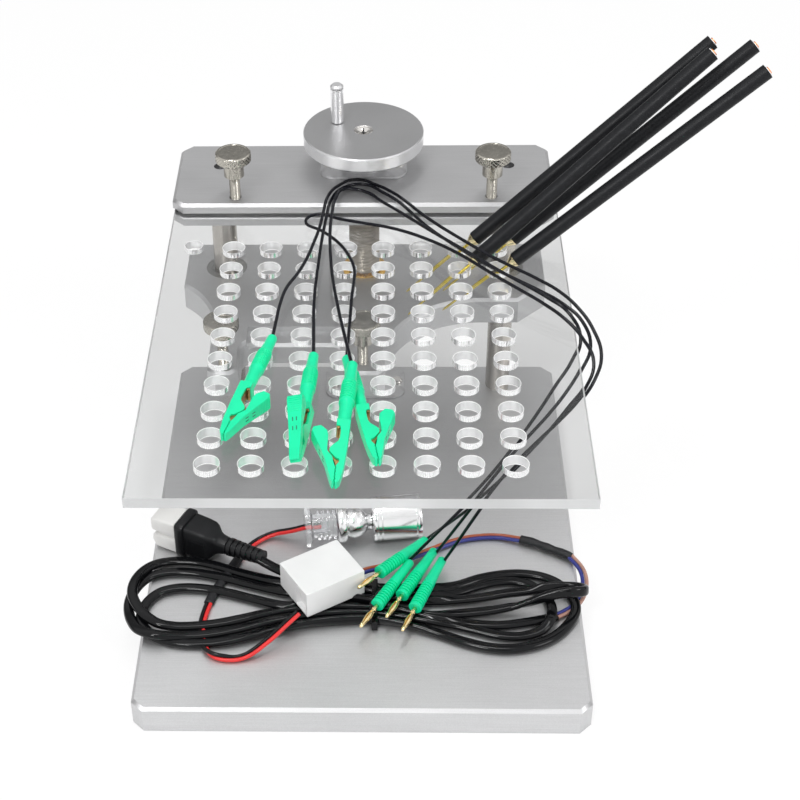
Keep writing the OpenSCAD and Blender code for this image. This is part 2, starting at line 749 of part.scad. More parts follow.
// Side profile of a jaw, as thick as the clip and narrower towards the tip
module jaw(profile) {
    intersection() {
        translate([0, 0, -clip_t / 2]) linear_extrude(clip_t) polygon(profile);
        rotate([90, 0, 0])
        translate([0, 0, -20])
        linear_extrude(40)
        polygon([
            [30, -clip_t / 2], [clip_boot_end + 10, -clip_t / 2], [clip_len, -clip_tip_t / 2],
            [clip_len, clip_tip_t / 2], [clip_boot_end + 10, clip_t / 2], [30, clip_t / 2]
        ]);
    }
}

body_profile = [
    [36, -3], [69, -2.9], [71, -1], [72, -0.1], [60, 1.4], [54, 1.9], [50.5, 4.1], [47.5, 4.1],
    [46.5, 1.1], [40.5, 0.2], [39, 3], [36, 3]
];
lever_profile = [
    [72, 0.3], [72, 2], [70, 3.4], [60, 7.7], [50, 12.6], [44, 12.5], [42, 11.5], [40, 7.2], [45, 4.9],
    [50.5, 4.8], [54.5, 2.4], [60, 1.9]
];

module clip_body(i) {
    rib = 1.4;
    color("mediumspringgreen")
    at_clip(i) {
        cone_along(0, 12, 2.3, 2.6);
        cone_along(12, 26, 2.6, 3.2);
        for (u = [12.5 : rib : 25])
            along(u, u + rib / 2, 2.85 + 0.045 * (u - 12.5));
        along(26, 38, 2.8);
        jaw(body_profile);
    }
}

module clip_lever(i) {
    color("mediumspringgreen") at_clip(i) jaw(lever_profile);
}

// Plugs on the test leads

module at_plug(i) {
    wire_end = plugs[i][0];
    run = plugs[i][1] - wire_end;
    translate(wire_end)
    rotate([0, 0, atan2(run.y, run.x)])
    rotate([0, -asin(run.z / norm(run)), 0])
    children();
}

function sleeve_len(i) = norm(plugs[i][1] - plugs[i][0]);

module plug_sleeves() {
    rib = 1.6;
    big = boot_d / 2;
    small = 0.71 * big;
    color("mediumspringgreen")
    for (i = [0 : 3])
        at_plug(i) {
            rib_start = sleeve_len(i) - 16;
            cone_along(0, rib_start, small, big - 0.5);
            along(rib_start, sleeve_len(i), big - 0.4);
            for (k = [0 : 9])
                along(rib_start + k * rib, rib_start + (k + 0.55) * rib, big - 0.18 + 0.02 * k);
        }
}

// Sprung pin: a slim rod with a fatter slotted middle
module plug_pins() {
    pin_r = pin_d / 2;
    color("gold")
    for (i = [0 : 3])
        at_plug(i)
        translate([sleeve_len(i), 0, 0])
        difference() {
            union() {
                along(0, 3.5, pin_r);
                cone_along(3.5, 7, pin_r, pin_r + 0.4);
                along(7, 9.5, pin_r + 0.4);
                cone_along(9.5, 13.5, pin_r + 0.4, pin_r);
                along(13.5, pin_len - 1, pin_r);
                cone_along(pin_len - 1, pin_len, pin_r, 0.45 * pin_r);
            }
            translate([4.5, -2, -0.2]) cube([8.5, 4, 0.4]);
            translate([4.5, -0.2, -2]) cube([8.5, 0.4, 4]);
        }
}

// Supply box, mains plug and lamp

module supply_box() {
    wall = 1.2;
    slot_w = 9;
    color("white")
    translate(supply_place)
    rotate(supply_turn)
    difference() {
        translate([-supply_l / 2, -supply_w / 2, 0]) cube([supply_l, supply_w, supply_h]);
        translate([-supply_l / 2 - 1, -supply_w / 2 + wall, wall]) cube([3.5, slot_w, supply_h - 4]);
        translate([supply_l / 2 - 2.5, -3, supply_h / 2 - 2.5]) cube([4, 6, 5]);
    }
}

module at_mains_plug() {
    translate(plug_place) rotate(plug_turn) children();
}

// Tapered block between two rectangles that stand across X
module taper(from, to, size_from, size_to) {
    hull() {
        translate([from, -size_from.x / 2, -size_from.y / 2]) cube([0.01, size_from.x, size_from.y]);
        translate([to - 0.01, -size_to.x / 2, -size_to.y / 2]) cube([0.01, size_to.x, size_to.y]);
    }
}

module mains_plug() {
    color("black")
    at_mains_plug() {
        taper(0, 1.5, [plug_flange_w - 2, plug_h - 2], [plug_flange_w, plug_h]);
        translate([1.5, -plug_flange_w / 2, -plug_h / 2]) cube([plug_flange_t - 1.5, plug_flange_w, plug_h]);
        taper(plug_flange_t, 18, [plug_flange_w - 2, plug_h - 3], [plug_flange_w - 4, plug_h - 6]);
        taper(18, plug_body_end, [plug_flange_w - 4, plug_h - 6], [9, 9]);
    }
}

module plug_strain_relief() {
    ribs = 7;
    step = (plug_end - plug_body_end) / ribs;
    color("black")
    at_mains_plug() {
        cone_along(plug_body_end, plug_end, 3.6, 2.7);
        for (k = [0 : ribs - 1])
            along(plug_body_end + (k + 0.35) * step, plug_body_end + (k + 1) * step, 4.6 - 0.16 * k);
    }
}

// Ridged cover pushed over the plug's prongs
module prong_cover() {
    color("white")
    at_mains_plug() {
        translate([-6, -7.2, -plug_h / 2 + 1]) cube([6 - rest_gap, 14.4, plug_h - 2]);
        translate([-8, -6.2, -plug_h / 2 + 2]) cube([2, 12.4, plug_h - 4]);
        translate([-14, -7.2, -plug_h / 2 + 1]) cube([6, 14.4, plug_h - 2]);
    }
}

// Frame of the lamp: origin at its wire end, X along it to the lens
module at_lamp() {
    translate(lamp_place) rotate(lamp_turn) children();
}

// Clear wire end: a disc and a ribbed neck
module lamp_socket() {
    color("aliceblue", 0.6)
    at_lamp()
    difference() {
        union() {
            along(0, 2.4, lamp_r);
            cone_along(2.4, 4, lamp_r, 6.5);
            along(4, 15.6, 6);
            for (u = [6 : 2.6 : 14]) along(u, u + 1.3, 7.4);
        }
        along(-1, 12, 2.6);
    }
}

module lamp_flange() {
    color("lightgray")
    at_lamp()
    difference() {
        union() {
            cone_along(15.6, 17.6, 8.4, 9.8);
            along(17.6, 19.4, 9.8);
            cone_along(19.4, 21, 9.8, 8.8);
        }
        translate([ball_at, 0, 0]) sphere(r = ball_d / 2 + run_gap);
    }
}

module lamp_ball() {
    color("lightgray")
    at_lamp() {
        translate([ball_at, 0, 0]) rotate(90) sphere(r = ball_d / 2);
        along(ball_at, head_at, 4.4);
    }
}

module lamp_head() {
    groove = 0.5;
    color("lightgray")
    at_lamp()
    difference() {
        union() {
            cone_along(head_at, head_at + 0.8, lamp_r - 0.8, lamp_r);
            along(head_at + 0.8, head_end, lamp_r);
        }
        for (u = [head_at + 2, head_at + 4.2, head_end - 3])
            difference() {
                along(u, u + 0.7, lamp_r + 1);
                along(u - 1, u + 2, lamp_r - groove);
            }
        along(head_end - 2.4, head_end + 1, lamp_r - 1.4);
        along(head_end - 8, head_end, lamp_r - 2.6);
    }
}

module lamp_lens() {
    color("white")
    at_lamp() along(head_end - 2.4, head_end - 1, lamp_r - 1.4 - seat_gap);
}

// Cords

module hank_shape() {
    difference() {
        polygon(smooth(hank_outline, 3));
        polygon(smooth(left_loop, 3));
        polygon(smooth(right_loop, 3));
    }
}

// Flat hank of the mains cord, with a shallow groove where the tie goes round
module mains_hank() {
    color("black")
    difference() {
        translate([0, 0, hank_z]) linear_extrude(hank_h) hank_shape();
        translate([tie_x - tie_w / 2, tie_y[0] - 20, hank_z - 1])
        difference() {
            cube([tie_w, tie_y[1] - tie_y[0] + 40, hank_h + 2]);
            translate([-1, 20 + tie_t, 1 + tie_t])
                cube([tie_w + 2, tie_y[1] - tie_y[0] - 2 * tie_t, hank_h - 2 * tie_t]);
        }
    }
}

// Wire tie round the hank's waist
module hank_tie() {
    color("black")
    translate([tie_x - tie_w / 2 + seat_gap, tie_y[0], hank_z])
    difference() {
        cube([tie_w - 2 * seat_gap, tie_y[1] - tie_y[0], hank_h]);
        translate([-1, tie_t - seat_gap, tie_t - seat_gap])
            cube([tie_w + 2, tie_y[1] - tie_y[0] - 2 * (tie_t - seat_gap), hank_h - 2 * (tie_t - seat_gap)]);
    }
}

module mains_lead() {
    color("black") tube(mains_lead_route, cord_r, cord_flat);
}

module lamp_lead() {
    color("red") tube(lamp_lead_route, wire_r, pair_flat);
}

module supply_pair() {
    color("saddlebrown") {
        tube(driver_pair_route, wire_r, pair_flat);
        tube(hank_pair_route, wire_r, pair_flat);
    }
}

module splice_sleeve() {
    color("black") tube(splice_ends, splice_r, 1.3, 12);
}

module test_lead(i) {
    color("midnightblue") tube(test_lead_routes[i], test_lead_r);
}

base_plate();
base_screws();
guide_columns();
clamp_bar();
top_plate();
column_screws();
base_bearing();
top_bearing();
bearing_screws();
hole_plate();
top_thumb_screw_left();
top_thumb_screw_right();
arm_thumb_screw_left();
arm_thumb_screw_right();
carrier();
column_bearings();
carrier_nut();
lead_screw();
hand_wheel();
crank_post();
crank_sleeve();
probe_pen(0);  // probe_pen_1
probe_pen(1);  // probe_pen_2
probe_pen(2);  // probe_pen_3
probe_pen(3);  // probe_pen_4
pen_insulators();
pen_sockets();
probe_needle(0);  // probe_needle_1
probe_needle(1);  // probe_needle_2
probe_needle(2);  // probe_needle_3
probe_needle(3);  // probe_needle_4
clip_body(0);  // clip_body_1
clip_body(1);  // clip_body_2
clip_body(2);  // clip_body_3
clip_body(3);  // clip_body_4
clip_lever(0);  // clip_lever_1
clip_lever(1);  // clip_lever_2
clip_lever(2);  // clip_lever_3
clip_lever(3);  // clip_lever_4
plug_sleeves();
plug_pins();
supply_box();
mains_plug();
plug_strain_relief();
prong_cover();
lamp_socket();
lamp_flange();
lamp_ball();
lamp_head();
lamp_lens();
mains_hank();
hank_tie();
mains_lead();
lamp_lead();
supply_pair();
splice_sleeve();
test_lead(0);  // test_lead_1
test_lead(1);  // test_lead_2
test_lead(2);  // test_lead_3
test_lead(3);  // test_lead_4
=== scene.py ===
import json
import math
import bpy
import numpy as np
from mathutils import Matrix, Vector


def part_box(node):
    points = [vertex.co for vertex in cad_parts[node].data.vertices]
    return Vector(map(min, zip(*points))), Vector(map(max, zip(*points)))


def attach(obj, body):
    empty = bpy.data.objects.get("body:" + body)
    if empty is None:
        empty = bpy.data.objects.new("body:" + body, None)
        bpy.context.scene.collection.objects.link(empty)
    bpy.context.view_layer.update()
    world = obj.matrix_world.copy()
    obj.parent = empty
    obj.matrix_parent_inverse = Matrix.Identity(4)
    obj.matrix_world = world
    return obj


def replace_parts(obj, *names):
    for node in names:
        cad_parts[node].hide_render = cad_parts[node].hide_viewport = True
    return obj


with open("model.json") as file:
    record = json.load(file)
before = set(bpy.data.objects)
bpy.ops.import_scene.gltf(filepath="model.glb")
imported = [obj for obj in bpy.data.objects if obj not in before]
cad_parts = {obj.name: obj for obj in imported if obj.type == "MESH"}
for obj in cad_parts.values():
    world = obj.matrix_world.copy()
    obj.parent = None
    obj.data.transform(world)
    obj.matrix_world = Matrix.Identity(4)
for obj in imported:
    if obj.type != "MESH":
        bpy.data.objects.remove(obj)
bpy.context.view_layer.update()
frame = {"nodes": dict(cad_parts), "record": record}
nodes = frame["nodes"]
scene = bpy.context.scene
MM = 0.001


# Camera

def make_camera():
    yaw, pitch, roll = -0.0400, -0.6598, -0.0242
    focal_px, photo_px = 1714.4492, 800
    ahead = Vector((math.sin(yaw) * math.cos(pitch), math.cos(yaw) * math.cos(pitch), math.sin(pitch)))
    right = Vector((math.cos(yaw), -math.sin(yaw), 0))
    up = right.cross(ahead)
    x_axis = right * math.cos(roll) + up * math.sin(roll)
    y_axis = up * math.cos(roll) - right * math.sin(roll)
    data = bpy.data.cameras.new("camera")
    data.sensor_width = 36
    data.lens = focal_px * data.sensor_width / photo_px
    data.shift_x = 0.0875
    data.clip_start = 0.02
    cam = bpy.data.objects.new("camera", data)
    turn = Matrix((x_axis, y_axis, -ahead)).transposed()
    cam.matrix_world = Matrix.Translation((0.0105083, -0.6538951, 0.5993799)) @ turn.to_4x4()
    scene.collection.objects.link(cam)
    scene.camera = cam


make_camera()


# Materials

def srgb(*levels):
    parts = [level / 255 for level in levels]
    return tuple(c / 12.92 if c <= 0.04045 else ((c + 0.055) / 1.055) ** 2.4 for c in parts) + (1,)


def add_node(tree, kind, *sources, **values):
    """A shader node with these values, its first inputs fed by these sockets in turn."""
    node = tree.nodes.new("ShaderNode" + kind)
    for key, value in values.items():
        socket = key.replace("_", " ")
        if socket in node.inputs:
            node.inputs[socket].default_value = value
        else:
            setattr(node, key, value)
    for source, socket in zip(sources, node.inputs):
        tree.links.new(source, socket)
    return node


class Finish:
    """A procedural material: a Principled shader with nodes for its grain."""

    def __init__(self, name, colour, rough=0.4, metal=0.0, **sockets):
        self.material = bpy.data.materials.new(name)
        self.material.use_nodes = True
        self.tree = self.material.node_tree
        self.shader = self.tree.nodes["Principled BSDF"]
        for key, value in dict(sockets, Base_Color=colour, Roughness=rough, Metallic=metal).items():
            self.shader.inputs[key.replace("_", " ")].default_value = value
        self.coords = self.add("TexCoord").outputs["Object"]

    def add(self, kind, *sources, **values):
        return add_node(self.tree, kind, *sources, **values)

    def link(self, source, socket):
        self.tree.links.new(source, socket)

    def feed(self, source, name):
        self.link(source, self.shader.inputs[name])

    def surface(self, node):
        self.link(node.outputs[0], self.tree.nodes["Material Output"].inputs["Surface"])

    def recolour(self, mix):
        """Puts a colour mix between the colour so far and the shader."""
        colour = self.shader.inputs["Base Color"]
        if colour.links:
            self.link(colour.links[0].from_socket, mix.inputs[6])
        else:
            mix.inputs[6].default_value = colour.default_value
        self.link(mix.outputs[2], colour)

    def noise(self, scale, detail, stretch=(1, 1, 1)):
        mapping = self.add("Mapping", self.coords, Scale=stretch)
        return self.add("TexNoise", mapping.outputs[0], Scale=scale, Detail=detail).outputs["Fac"]

    def spots(self, scale, detail, stretch, low, high):
        noise = self.noise(scale, detail, stretch)
        return self.add("MapRange", noise, From_Min=0.3, From_Max=0.7, To_Min=low, To_Max=high).outputs[0]

    def mottle(self, scale, amount, stretch=(1, 1, 1), detail=3.0):
        """Varies the colour by a small amount either way."""
        mix = self.add("Mix", data_type="RGBA", blend_type="MULTIPLY", Factor=1)
        self.link(self.spots(scale, detail, stretch, 1 - amount, 1 + amount), mix.inputs[7])
        self.recolour(mix)
        return self

    def sheen_spots(self, scale, low, high, stretch=(1, 1, 1)):
        """Varies the roughness."""
        self.feed(self.spots(scale, 4.0, stretch, low, high), "Roughness")
        return self

    def grain(self, scale, distance):
        """Fine relief, its height in metres."""
        bump = self.add("Bump", Strength=1, Distance=distance)
        self.link(self.noise(scale, 2.0), bump.inputs["Height"])
        self.feed(bump.outputs[0], "Normal")
        return self


def satin_metal(name, grey, rough=0.48, metal=0.85):
    made = Finish(name, (grey, grey, grey * 1.012, 1), rough, metal)
    made.mottle(14, 0.02).mottle(2600, 0.05, detail=1.0)
    return made.sheen_spots(30, rough - 0.03, rough + 0.03).grain(2400, 0.00003)


brushed = 1500, 0.03, (0.03, 1, 1), 2.0
aluminium = satin_metal("anodised aluminium", 0.585).mottle(*brushed)
top_metal = satin_metal("top plate aluminium", 0.495).mottle(*brushed)
bearing_face = satin_metal("bearing flange", 0.60, 0.36)


def painted_side_highlight(finish, side):
    """Painted highlight on a turned part: faces that look sideways get a lighter colour, standing in for the light its
    rim catches.
    """
    normal = finish.add("SeparateXYZ", finish.add("NewGeometry").outputs["Normal"])
    steep = finish.add("MapRange", normal.outputs["Z"], From_Min=0.85, From_Max=0.3)
    mix = finish.add("Mix", steep.outputs[0], data_type="RGBA")
    mix.inputs[7].default_value = (side, side, side * 1.01, 1)
    finish.recolour(mix)
    return finish


# The hand wheel's rim gets a painted highlight: its sideways faces are coloured lighter.
wheel_metal = painted_side_highlight(satin_metal("hand wheel aluminium", 0.44, 0.36), 0.84)
crank_metal = satin_metal("crank pin", 0.86, 0.22, 1.0)
steel = Finish("column steel", (0.50, 0.475, 0.44, 1), 0.16, 1.0)
steel.mottle(60, 0.10, (1, 1, 0.01)).mottle(900, 0.05, (1, 1, 0.03)).sheen_spots(500, 0.12, 0.24, (1, 1, 0.02))
bright = Finish("bright steel", (0.72, 0.70, 0.67, 1), 0.14, 1.0).mottle(400, 0.06).sheen_spots(300, 0.1, 0.2)
bearing_metal = Finish("bearing ring", (0.34, 0.34, 0.33, 1), 0.3, 1.0).mottle(300, 0.08).grain(2500, 0.00002)
thread_metal = Finish("screw thread", (0.44, 0.405, 0.35, 1), 0.38, 1.0)
thread_metal.mottle(140, 0.12).sheen_spots(500, 0.34, 0.46)
nickel = Finish("nickel", (0.44, 0.42, 0.375, 1), 0.2, 1.0).mottle(180, 0.08).sheen_spots(700, 0.15, 0.28)
black_steel = Finish("black screws", (0.03, 0.03, 0.032, 1), 0.35, 0.6).mottle(400, 0.1).grain(1800, 0.00002)
brass = Finish("brass nut", (0.78, 0.50, 0.16, 1), 0.26, 1.0).mottle(220, 0.1).sheen_spots(400, 0.2, 0.34)
gold = Finish("gold plating", (0.86, 0.70, 0.38, 1), 0.16, 1.0).mottle(500, 0.1).sheen_spots(900, 0.1, 0.22)
copper = Finish("copper socket", (0.86, 0.30, 0.10, 1), 0.3, 0.8).mottle(500, 0.12)
chrome = Finish("chrome", (0.86, 0.86, 0.865, 1), 0.19, 1.0).mottle(120, 0.03).sheen_spots(40, 0.17, 0.21)
pen_black = Finish("pen plastic", (0.010, 0.0105, 0.012, 1), 0.42, 0.0, IOR=1.45, Specular_IOR_Level=0.2)
pen_black.mottle(500, 0.2).sheen_spots(160, 0.36, 0.48).grain(1600, 0.00002)
green = Finish("green plastic", srgb(6, 222, 160), 0.36, 0.0, IOR=1.47, Specular_IOR_Level=0.38)
green.mottle(160, 0.05).sheen_spots(240, 0.3, 0.42).grain(500, 0.00001)
# Darker copy of the green plastic: painted shade inside the levers' slots.
slot_shade_green = Finish("painted shade in green slots", srgb(10, 120, 84), 0.5).mottle(300, 0.1)
white = Finish("white plastic", srgb(240, 240, 240), 0.42).mottle(90, 0.015).grain(900, 0.00004)
cover_white = Finish("cover plastic", srgb(220, 219, 217), 0.35).mottle(110, 0.03).grain(500, 0.00003)
plug_black = Finish("plug plastic", (0.007, 0.0074, 0.0085, 1), 0.34, 0.0, IOR=1.45, Specular_IOR_Level=0.28)
plug_black.mottle(260, 0.15).sheen_spots(120, 0.32, 0.44).grain(1500, 0.00004)
cord_black = Finish("cord sheath", (0.004, 0.0042, 0.005, 1), 0.09, 0.0, IOR=1.45, Specular_IOR_Level=0.28)
cord_black.mottle(90, 0.15).sheen_spots(40, 0.07, 0.12)
lead_black = Finish("lead insulation", (0.004, 0.0045, 0.008, 1), 0.14, 0.0, IOR=1.45, Specular_IOR_Level=0.28)
lead_black.mottle(200, 0.2).sheen_spots(150, 0.11, 0.18)
wire_red = Finish("red wire", srgb(222, 40, 40), 0.32).mottle(150, 0.06).sheen_spots(150, 0.26, 0.4)
wire_black = Finish("black wire", (0.005, 0.005, 0.006, 1), 0.22, 0.0, IOR=1.45, Specular_IOR_Level=0.3)
wire_black.mottle(150, 0.1).sheen_spots(150, 0.18, 0.28)
wire_brown = Finish("brown wire", srgb(168, 84, 52), 0.36).mottle(130, 0.07).sheen_spots(150, 0.3, 0.42)
wire_blue = Finish("blue wire", srgb(44, 50, 130), 0.36).mottle(130, 0.07).sheen_spots(150, 0.3, 0.42)
wire_pale = Finish("pale brown wire", srgb(176, 134, 120), 0.4).mottle(130, 0.07).sheen_spots(150, 0.34, 0.46)
shrink = Finish("shrink sleeve", (0.012, 0.0122, 0.014, 1), 0.44, 0.0, Specular_IOR_Level=0.3)
shrink.mottle(300, 0.15).grain(420, 0.0001)
liner = Finish("jaw liner", (0.34, 0.22, 0.09, 1), 0.34, 1.0).mottle(300, 0.2)
needle_gold = Finish("needle plating", (0.60, 0.48, 0.10, 1), 0.22, 1.0).mottle(500, 0.1).sheen_spots(900, 0.16, 0.3)
pale_gold = Finish("cone plating", (0.82, 0.70, 0.42, 1), 0.24, 1.0).mottle(400, 0.08).sheen_spots(600, 0.18, 0.3)
lens = Finish("lens", srgb(240, 240, 232), 0.2, 0.0).mottle(300, 0.05)


def see_through(finish, tint):
    """Lets shadow, diffuse and mirrored rays straight through a clear material."""
    rays = finish.add("LightPath").outputs
    soft = finish.add("Math", rays["Is Shadow Ray"], rays["Is Diffuse Ray"], operation="MAXIMUM")
    mirrored = finish.add("Math", rays["Is Glossy Ray"], rays["Is Transmission Ray"], operation="SUBTRACT",
                          use_clamp=True)
    passing = finish.add("Math", soft.outputs[0], mirrored.outputs[0], operation="MAXIMUM")
    clear = finish.add("BsdfTransparent", Color=tint)
    finish.surface(finish.add("MixShader", passing.outputs[0], finish.shader.outputs[0], clear.outputs[0]))


acrylic = Finish("clear acrylic", (0.72, 0.724, 0.724, 1), 0.0, 0.0, IOR=1.3, Transmission_Weight=1.0)
acrylic.mottle(5, 0.004)
see_through(acrylic, (0.99, 0.99, 0.99, 1))
frosted = Finish("cut acrylic wall", (0.93, 0.935, 0.94, 1), 0.3, 0.0, IOR=1.49, Alpha=0.34)
frosted.mottle(90, 0.06).mottle(300, 0.1, (1, 1, 0.1)).sheen_spots(120, 0.2, 0.4)
# Near-white rings at the hole edges: painted highlight where the edges catch light.
rim_highlight = Finish("painted hole rim highlight", (0.98, 0.98, 0.98, 1), 0.2, 0.0, IOR=1.49, Alpha=0.85)
rim_highlight.mottle(90, 0.03)
edge_frost = Finish("sawn acrylic edge", (0.80, 0.805, 0.81, 1), 0.45, 0.0, IOR=1.49, Transmission_Weight=0.2)
edge_frost.mottle(26, 0.12, (1, 1, 0.05)).sheen_spots(90, 0.35, 0.55).grain(1200, 0.00003)
lamp_clear = Finish("clear plastic", (0.93, 0.94, 0.95, 1), 0.06, 0.0, IOR=1.45, Transmission_Weight=0.85)
lamp_clear.mottle(160, 0.03)
see_through(lamp_clear, (0.85, 0.85, 0.86, 1))

finishes = {
    "anodised": aluminium, "column_steel": steel, "bearing": bearing_metal, "bearing_sleeve": bearing_metal,
    "screw_steel": thread_metal, "small_screws": bright, "base_screws": black_steel, "thumb_screws": nickel,
    "clear_acrylic": acrylic, "brass": brass, "pen_black": pen_black, "pen_white": white, "copper": copper,
    "gold": gold, "clip_green": green, "box_white": white, "plug_black": plug_black,
    "cover_white": cover_white, "lamp_clear": lamp_clear, "lamp_chrome": chrome, "lamp_lens": lens,
    "cord_black": cord_black, "wire_red": wire_red, "wire_brown": wire_brown, "lead_black": lead_black,
}


# Meshes

def linked(name, data, finish, body="frame"):
    made = bpy.data.objects.new(name, data)
    scene.collection.objects.link(made)
    data.materials.append(finish.material)
    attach(made, body)
    return made


def mesh_of(name, corners, faces, smooth=True):
    data = bpy.data.meshes.new(name)
    data.from_pydata([tuple(c) for c in corners], [], faces)
    data.update()
    if smooth:
        data.polygons.foreach_set("use_smooth", [True] * len(data.polygons))
    return data


def circle(sides, wide=1.0, tall=None):
    """Points of a circle, or of an ellipse where its height differs."""
    turns = [2 * math.pi * k / sides for k in range(sides)]
    return [(wide * math.cos(a), (tall or wide) * math.sin(a)) for a in turns]


def bands(rows, sides, start=0, hoop=False):
    """Faces between rows of corners, each row closed on itself; a hoop's last row joins its first."""
    return [(start + row * sides + k, start + row * sides + (k + 1) % sides,
             start + (row + 1) % rows * sides + (k + 1) % sides, start + (row + 1) % rows * sides + k)
            for row in range(rows - (not hoop)) for k in range(sides)]


def capped(rows, sides):
    """The same, with a face over each end."""
    return bands(rows, sides) + [tuple(range(sides))[::-1], tuple((rows - 1) * sides + k for k in range(sides))]


def axes_along(line):
    """Unit vectors level across a line and up from it, at each of its points."""
    ahead = np.gradient(line, axis=0)
    ahead /= np.linalg.norm(ahead, axis=1)[:, None]
    across = np.cross(ahead, [0, 0, 1.0])
    across /= np.linalg.norm(across, axis=1)[:, None]
    return across, np.cross(across, ahead)


def rounded(points, per=6):
    """Centripetal Catmull-Rom line through the points."""
    p = np.array(points, float)
    p = np.vstack([2 * p[0] - p[1], p, 2 * p[-1] - p[-2]])
    out = []
    for i in range(1, len(p) - 2):
        q = p[i - 1:i + 3]
        t = np.cumsum([0] + [max(np.linalg.norm(q[k + 1] - q[k]) ** 0.5, 1e-6) for k in range(3)])
        for s in np.linspace(t[1], t[2], per, endpoint=False):
            a = [(q[k] * (t[k + 1] - s) + q[k + 1] * (s - t[k])) / (t[k + 1] - t[k]) for k in range(3)]
            b = [(a[k] * (t[k + 2] - s) + a[k + 1] * (s - t[k])) / (t[k + 2] - t[k]) for k in range(2)]
            out.append((b[0] * (t[2] - s) + b[1] * (s - t[1])) / (t[2] - t[1]))
    out.append(p[-2])
    return np.array(out)


def even(points, step):
    """Points a step apart along a line."""
    p = np.array(points, float)
    along = np.concatenate([[0], np.cumsum(np.linalg.norm(np.diff(p, axis=0), axis=1))])
    count = max(2, int(round(along[-1] / step)) + 1)
    want = np.linspace(0, along[-1], count)
    return np.stack([np.interp(want, along, p[:, k]) for k in range(p.shape[1])], axis=1)


def length_of(points):
    return float(np.linalg.norm(np.diff(np.array(points)[:, :3], axis=0), axis=1).sum())


def curve_of(name, points, radius, finish):
    """A round cord: one open spline through the points, in metres."""
    data = bpy.data.curves.new(name, "CURVE")
    data.dimensions = "3D"
    data.bevel_depth = radius
    data.bevel_resolution = 3
    data.resolution_u = 6
    data.use_fill_caps = True
    spline = data.splines.new("BEZIER")
    spline.bezier_points.add(len(points) - 1)
    for point, place in zip(spline.bezier_points, points):
        point.co = place[:3]
        point.handle_left_type = point.handle_right_type = "AUTO"
    return linked(name, data, finish)


def tube(line, section, rolls=None):
    """Sweeps a closed section, given as across and up, along a line."""
    line = np.array(line)
    if rolls is None:
        rolls = np.zeros(len(line))
    corners = []
    for p, a, u, r in zip(line, *axes_along(line), rolls):
        side, lift = a * math.cos(r) + u * math.sin(r), u * math.cos(r) - a * math.sin(r)
        corners += [p + side * x + lift * y for x, y in section]
    return corners, capped(len(line), len(section))


def turned(profile, sides=48, wave=lambda k, row: 0):
    """A body of revolution about Z from (radius, height) pairs; wave(place, row) adds to the radius."""
    corners = [((r + wave(k, row)) * x, (r + wave(k, row)) * y, z)
               for row, (r, z) in enumerate(profile) for k, (x, y) in enumerate(circle(sides))]
    return corners, capped(len(profile), sides)


def threaded(r, depth, pitch, z0, z1, sides):
    """A helical thread about Z, which fades out at its ends."""
    rows_per_turn = 6
    rows = int((z1 - z0) / pitch * rows_per_turn) + 1
    corners = []
    for row in range(rows):
        z = z0 + (z1 - z0) * row / (rows - 1)
        for k, (x, y) in enumerate(circle(sides)):
            tooth = 1 - abs(2 * ((z / pitch - k / sides) % 1) - 1)
            tooth = min(1, max(0, (tooth - 0.15) / 0.7))
            fade = max(0, min(1, (z - z0) / pitch, (z1 - z) / pitch))
            rr = r - depth + depth * tooth * fade
            corners.append((rr * x, rr * y, z))
    return corners, capped(rows, sides)


def joined(name, parts, finish, place=Matrix.Identity(4), flat=40, body="frame"):
    """One mesh from several (corners, faces) parts in mm, set in place."""
    corners, faces = [], []
    for part in parts:
        start = len(corners)
        corners += [place @ (Vector(c) * MM) for c in part[0]]
        faces += [[i + start for i in f] for f in part[1]]
    data = mesh_of(name, corners, faces)
    data.set_sharp_from_angle(angle=math.radians(flat))
    return linked(name, data, finish, body)


def smooth_by_angle(limit):
    """Geometry nodes that shade smooth all but the edges sharper than the limit."""
    group = bpy.data.node_groups.new("smooth by angle", "GeometryNodeTree")
    group.interface.new_socket("Geometry", in_out="INPUT", socket_type="NodeSocketGeometry")
    group.interface.new_socket("Geometry", in_out="OUTPUT", socket_type="NodeSocketGeometry")
    start, end = group.nodes.new("NodeGroupInput"), group.nodes.new("NodeGroupOutput")
    faces, edges = group.nodes.new("GeometryNodeSetShadeSmooth"), group.nodes.new("GeometryNodeSetShadeSmooth")
    edges.domain = "EDGE"
    angle, test = group.nodes.new("GeometryNodeInputMeshEdgeAngle"), group.nodes.new("FunctionNodeCompare")
    test.operation = "LESS_EQUAL"
    test.inputs["B"].default_value = limit
    link = group.links.new
    link(start.outputs[0], faces.inputs["Geometry"])
    link(faces.outputs[0], edges.inputs["Geometry"])
    link(angle.outputs["Unsigned Angle"], test.inputs["A"])
    link(test.outputs[0], edges.inputs["Shade Smooth"])
    link(edges.outputs[0], end.inputs[0])
    return group


smooth_edges = smooth_by_angle(math.radians(32))


def add_bevel(piece, width, segments=2):
    bevel = piece.modifiers.new("bevel", "BEVEL")
    bevel.width, bevel.segments = width * MM, segments
    bevel.limit_method, bevel.angle_limit = "ANGLE", math.radians(40)


def add_level(piece):
    """Keeps flat faces flat in their shading beside rounded edges."""
    level = piece.modifiers.new("level", "WEIGHTED_NORMAL")
    level.weight, level.keep_sharp = 100, True


def edged(piece, width, segments=2):
    """Rounds the edges of one of the script's own pieces."""
    add_bevel(piece, width, segments)
    add_level(piece)
    return piece


def soften(node, width):
    """Welds a CAD node's shading seams, rounds its edges and smooths its curved faces."""
    piece = nodes[node]
    piece.modifiers.new("weld", "WELD").merge_threshold = 0.00001
    if width:
        add_bevel(piece, width)
    piece.modifiers.new("smooth", "NODES").node_group = smooth_edges
    if width:
        add_level(piece)


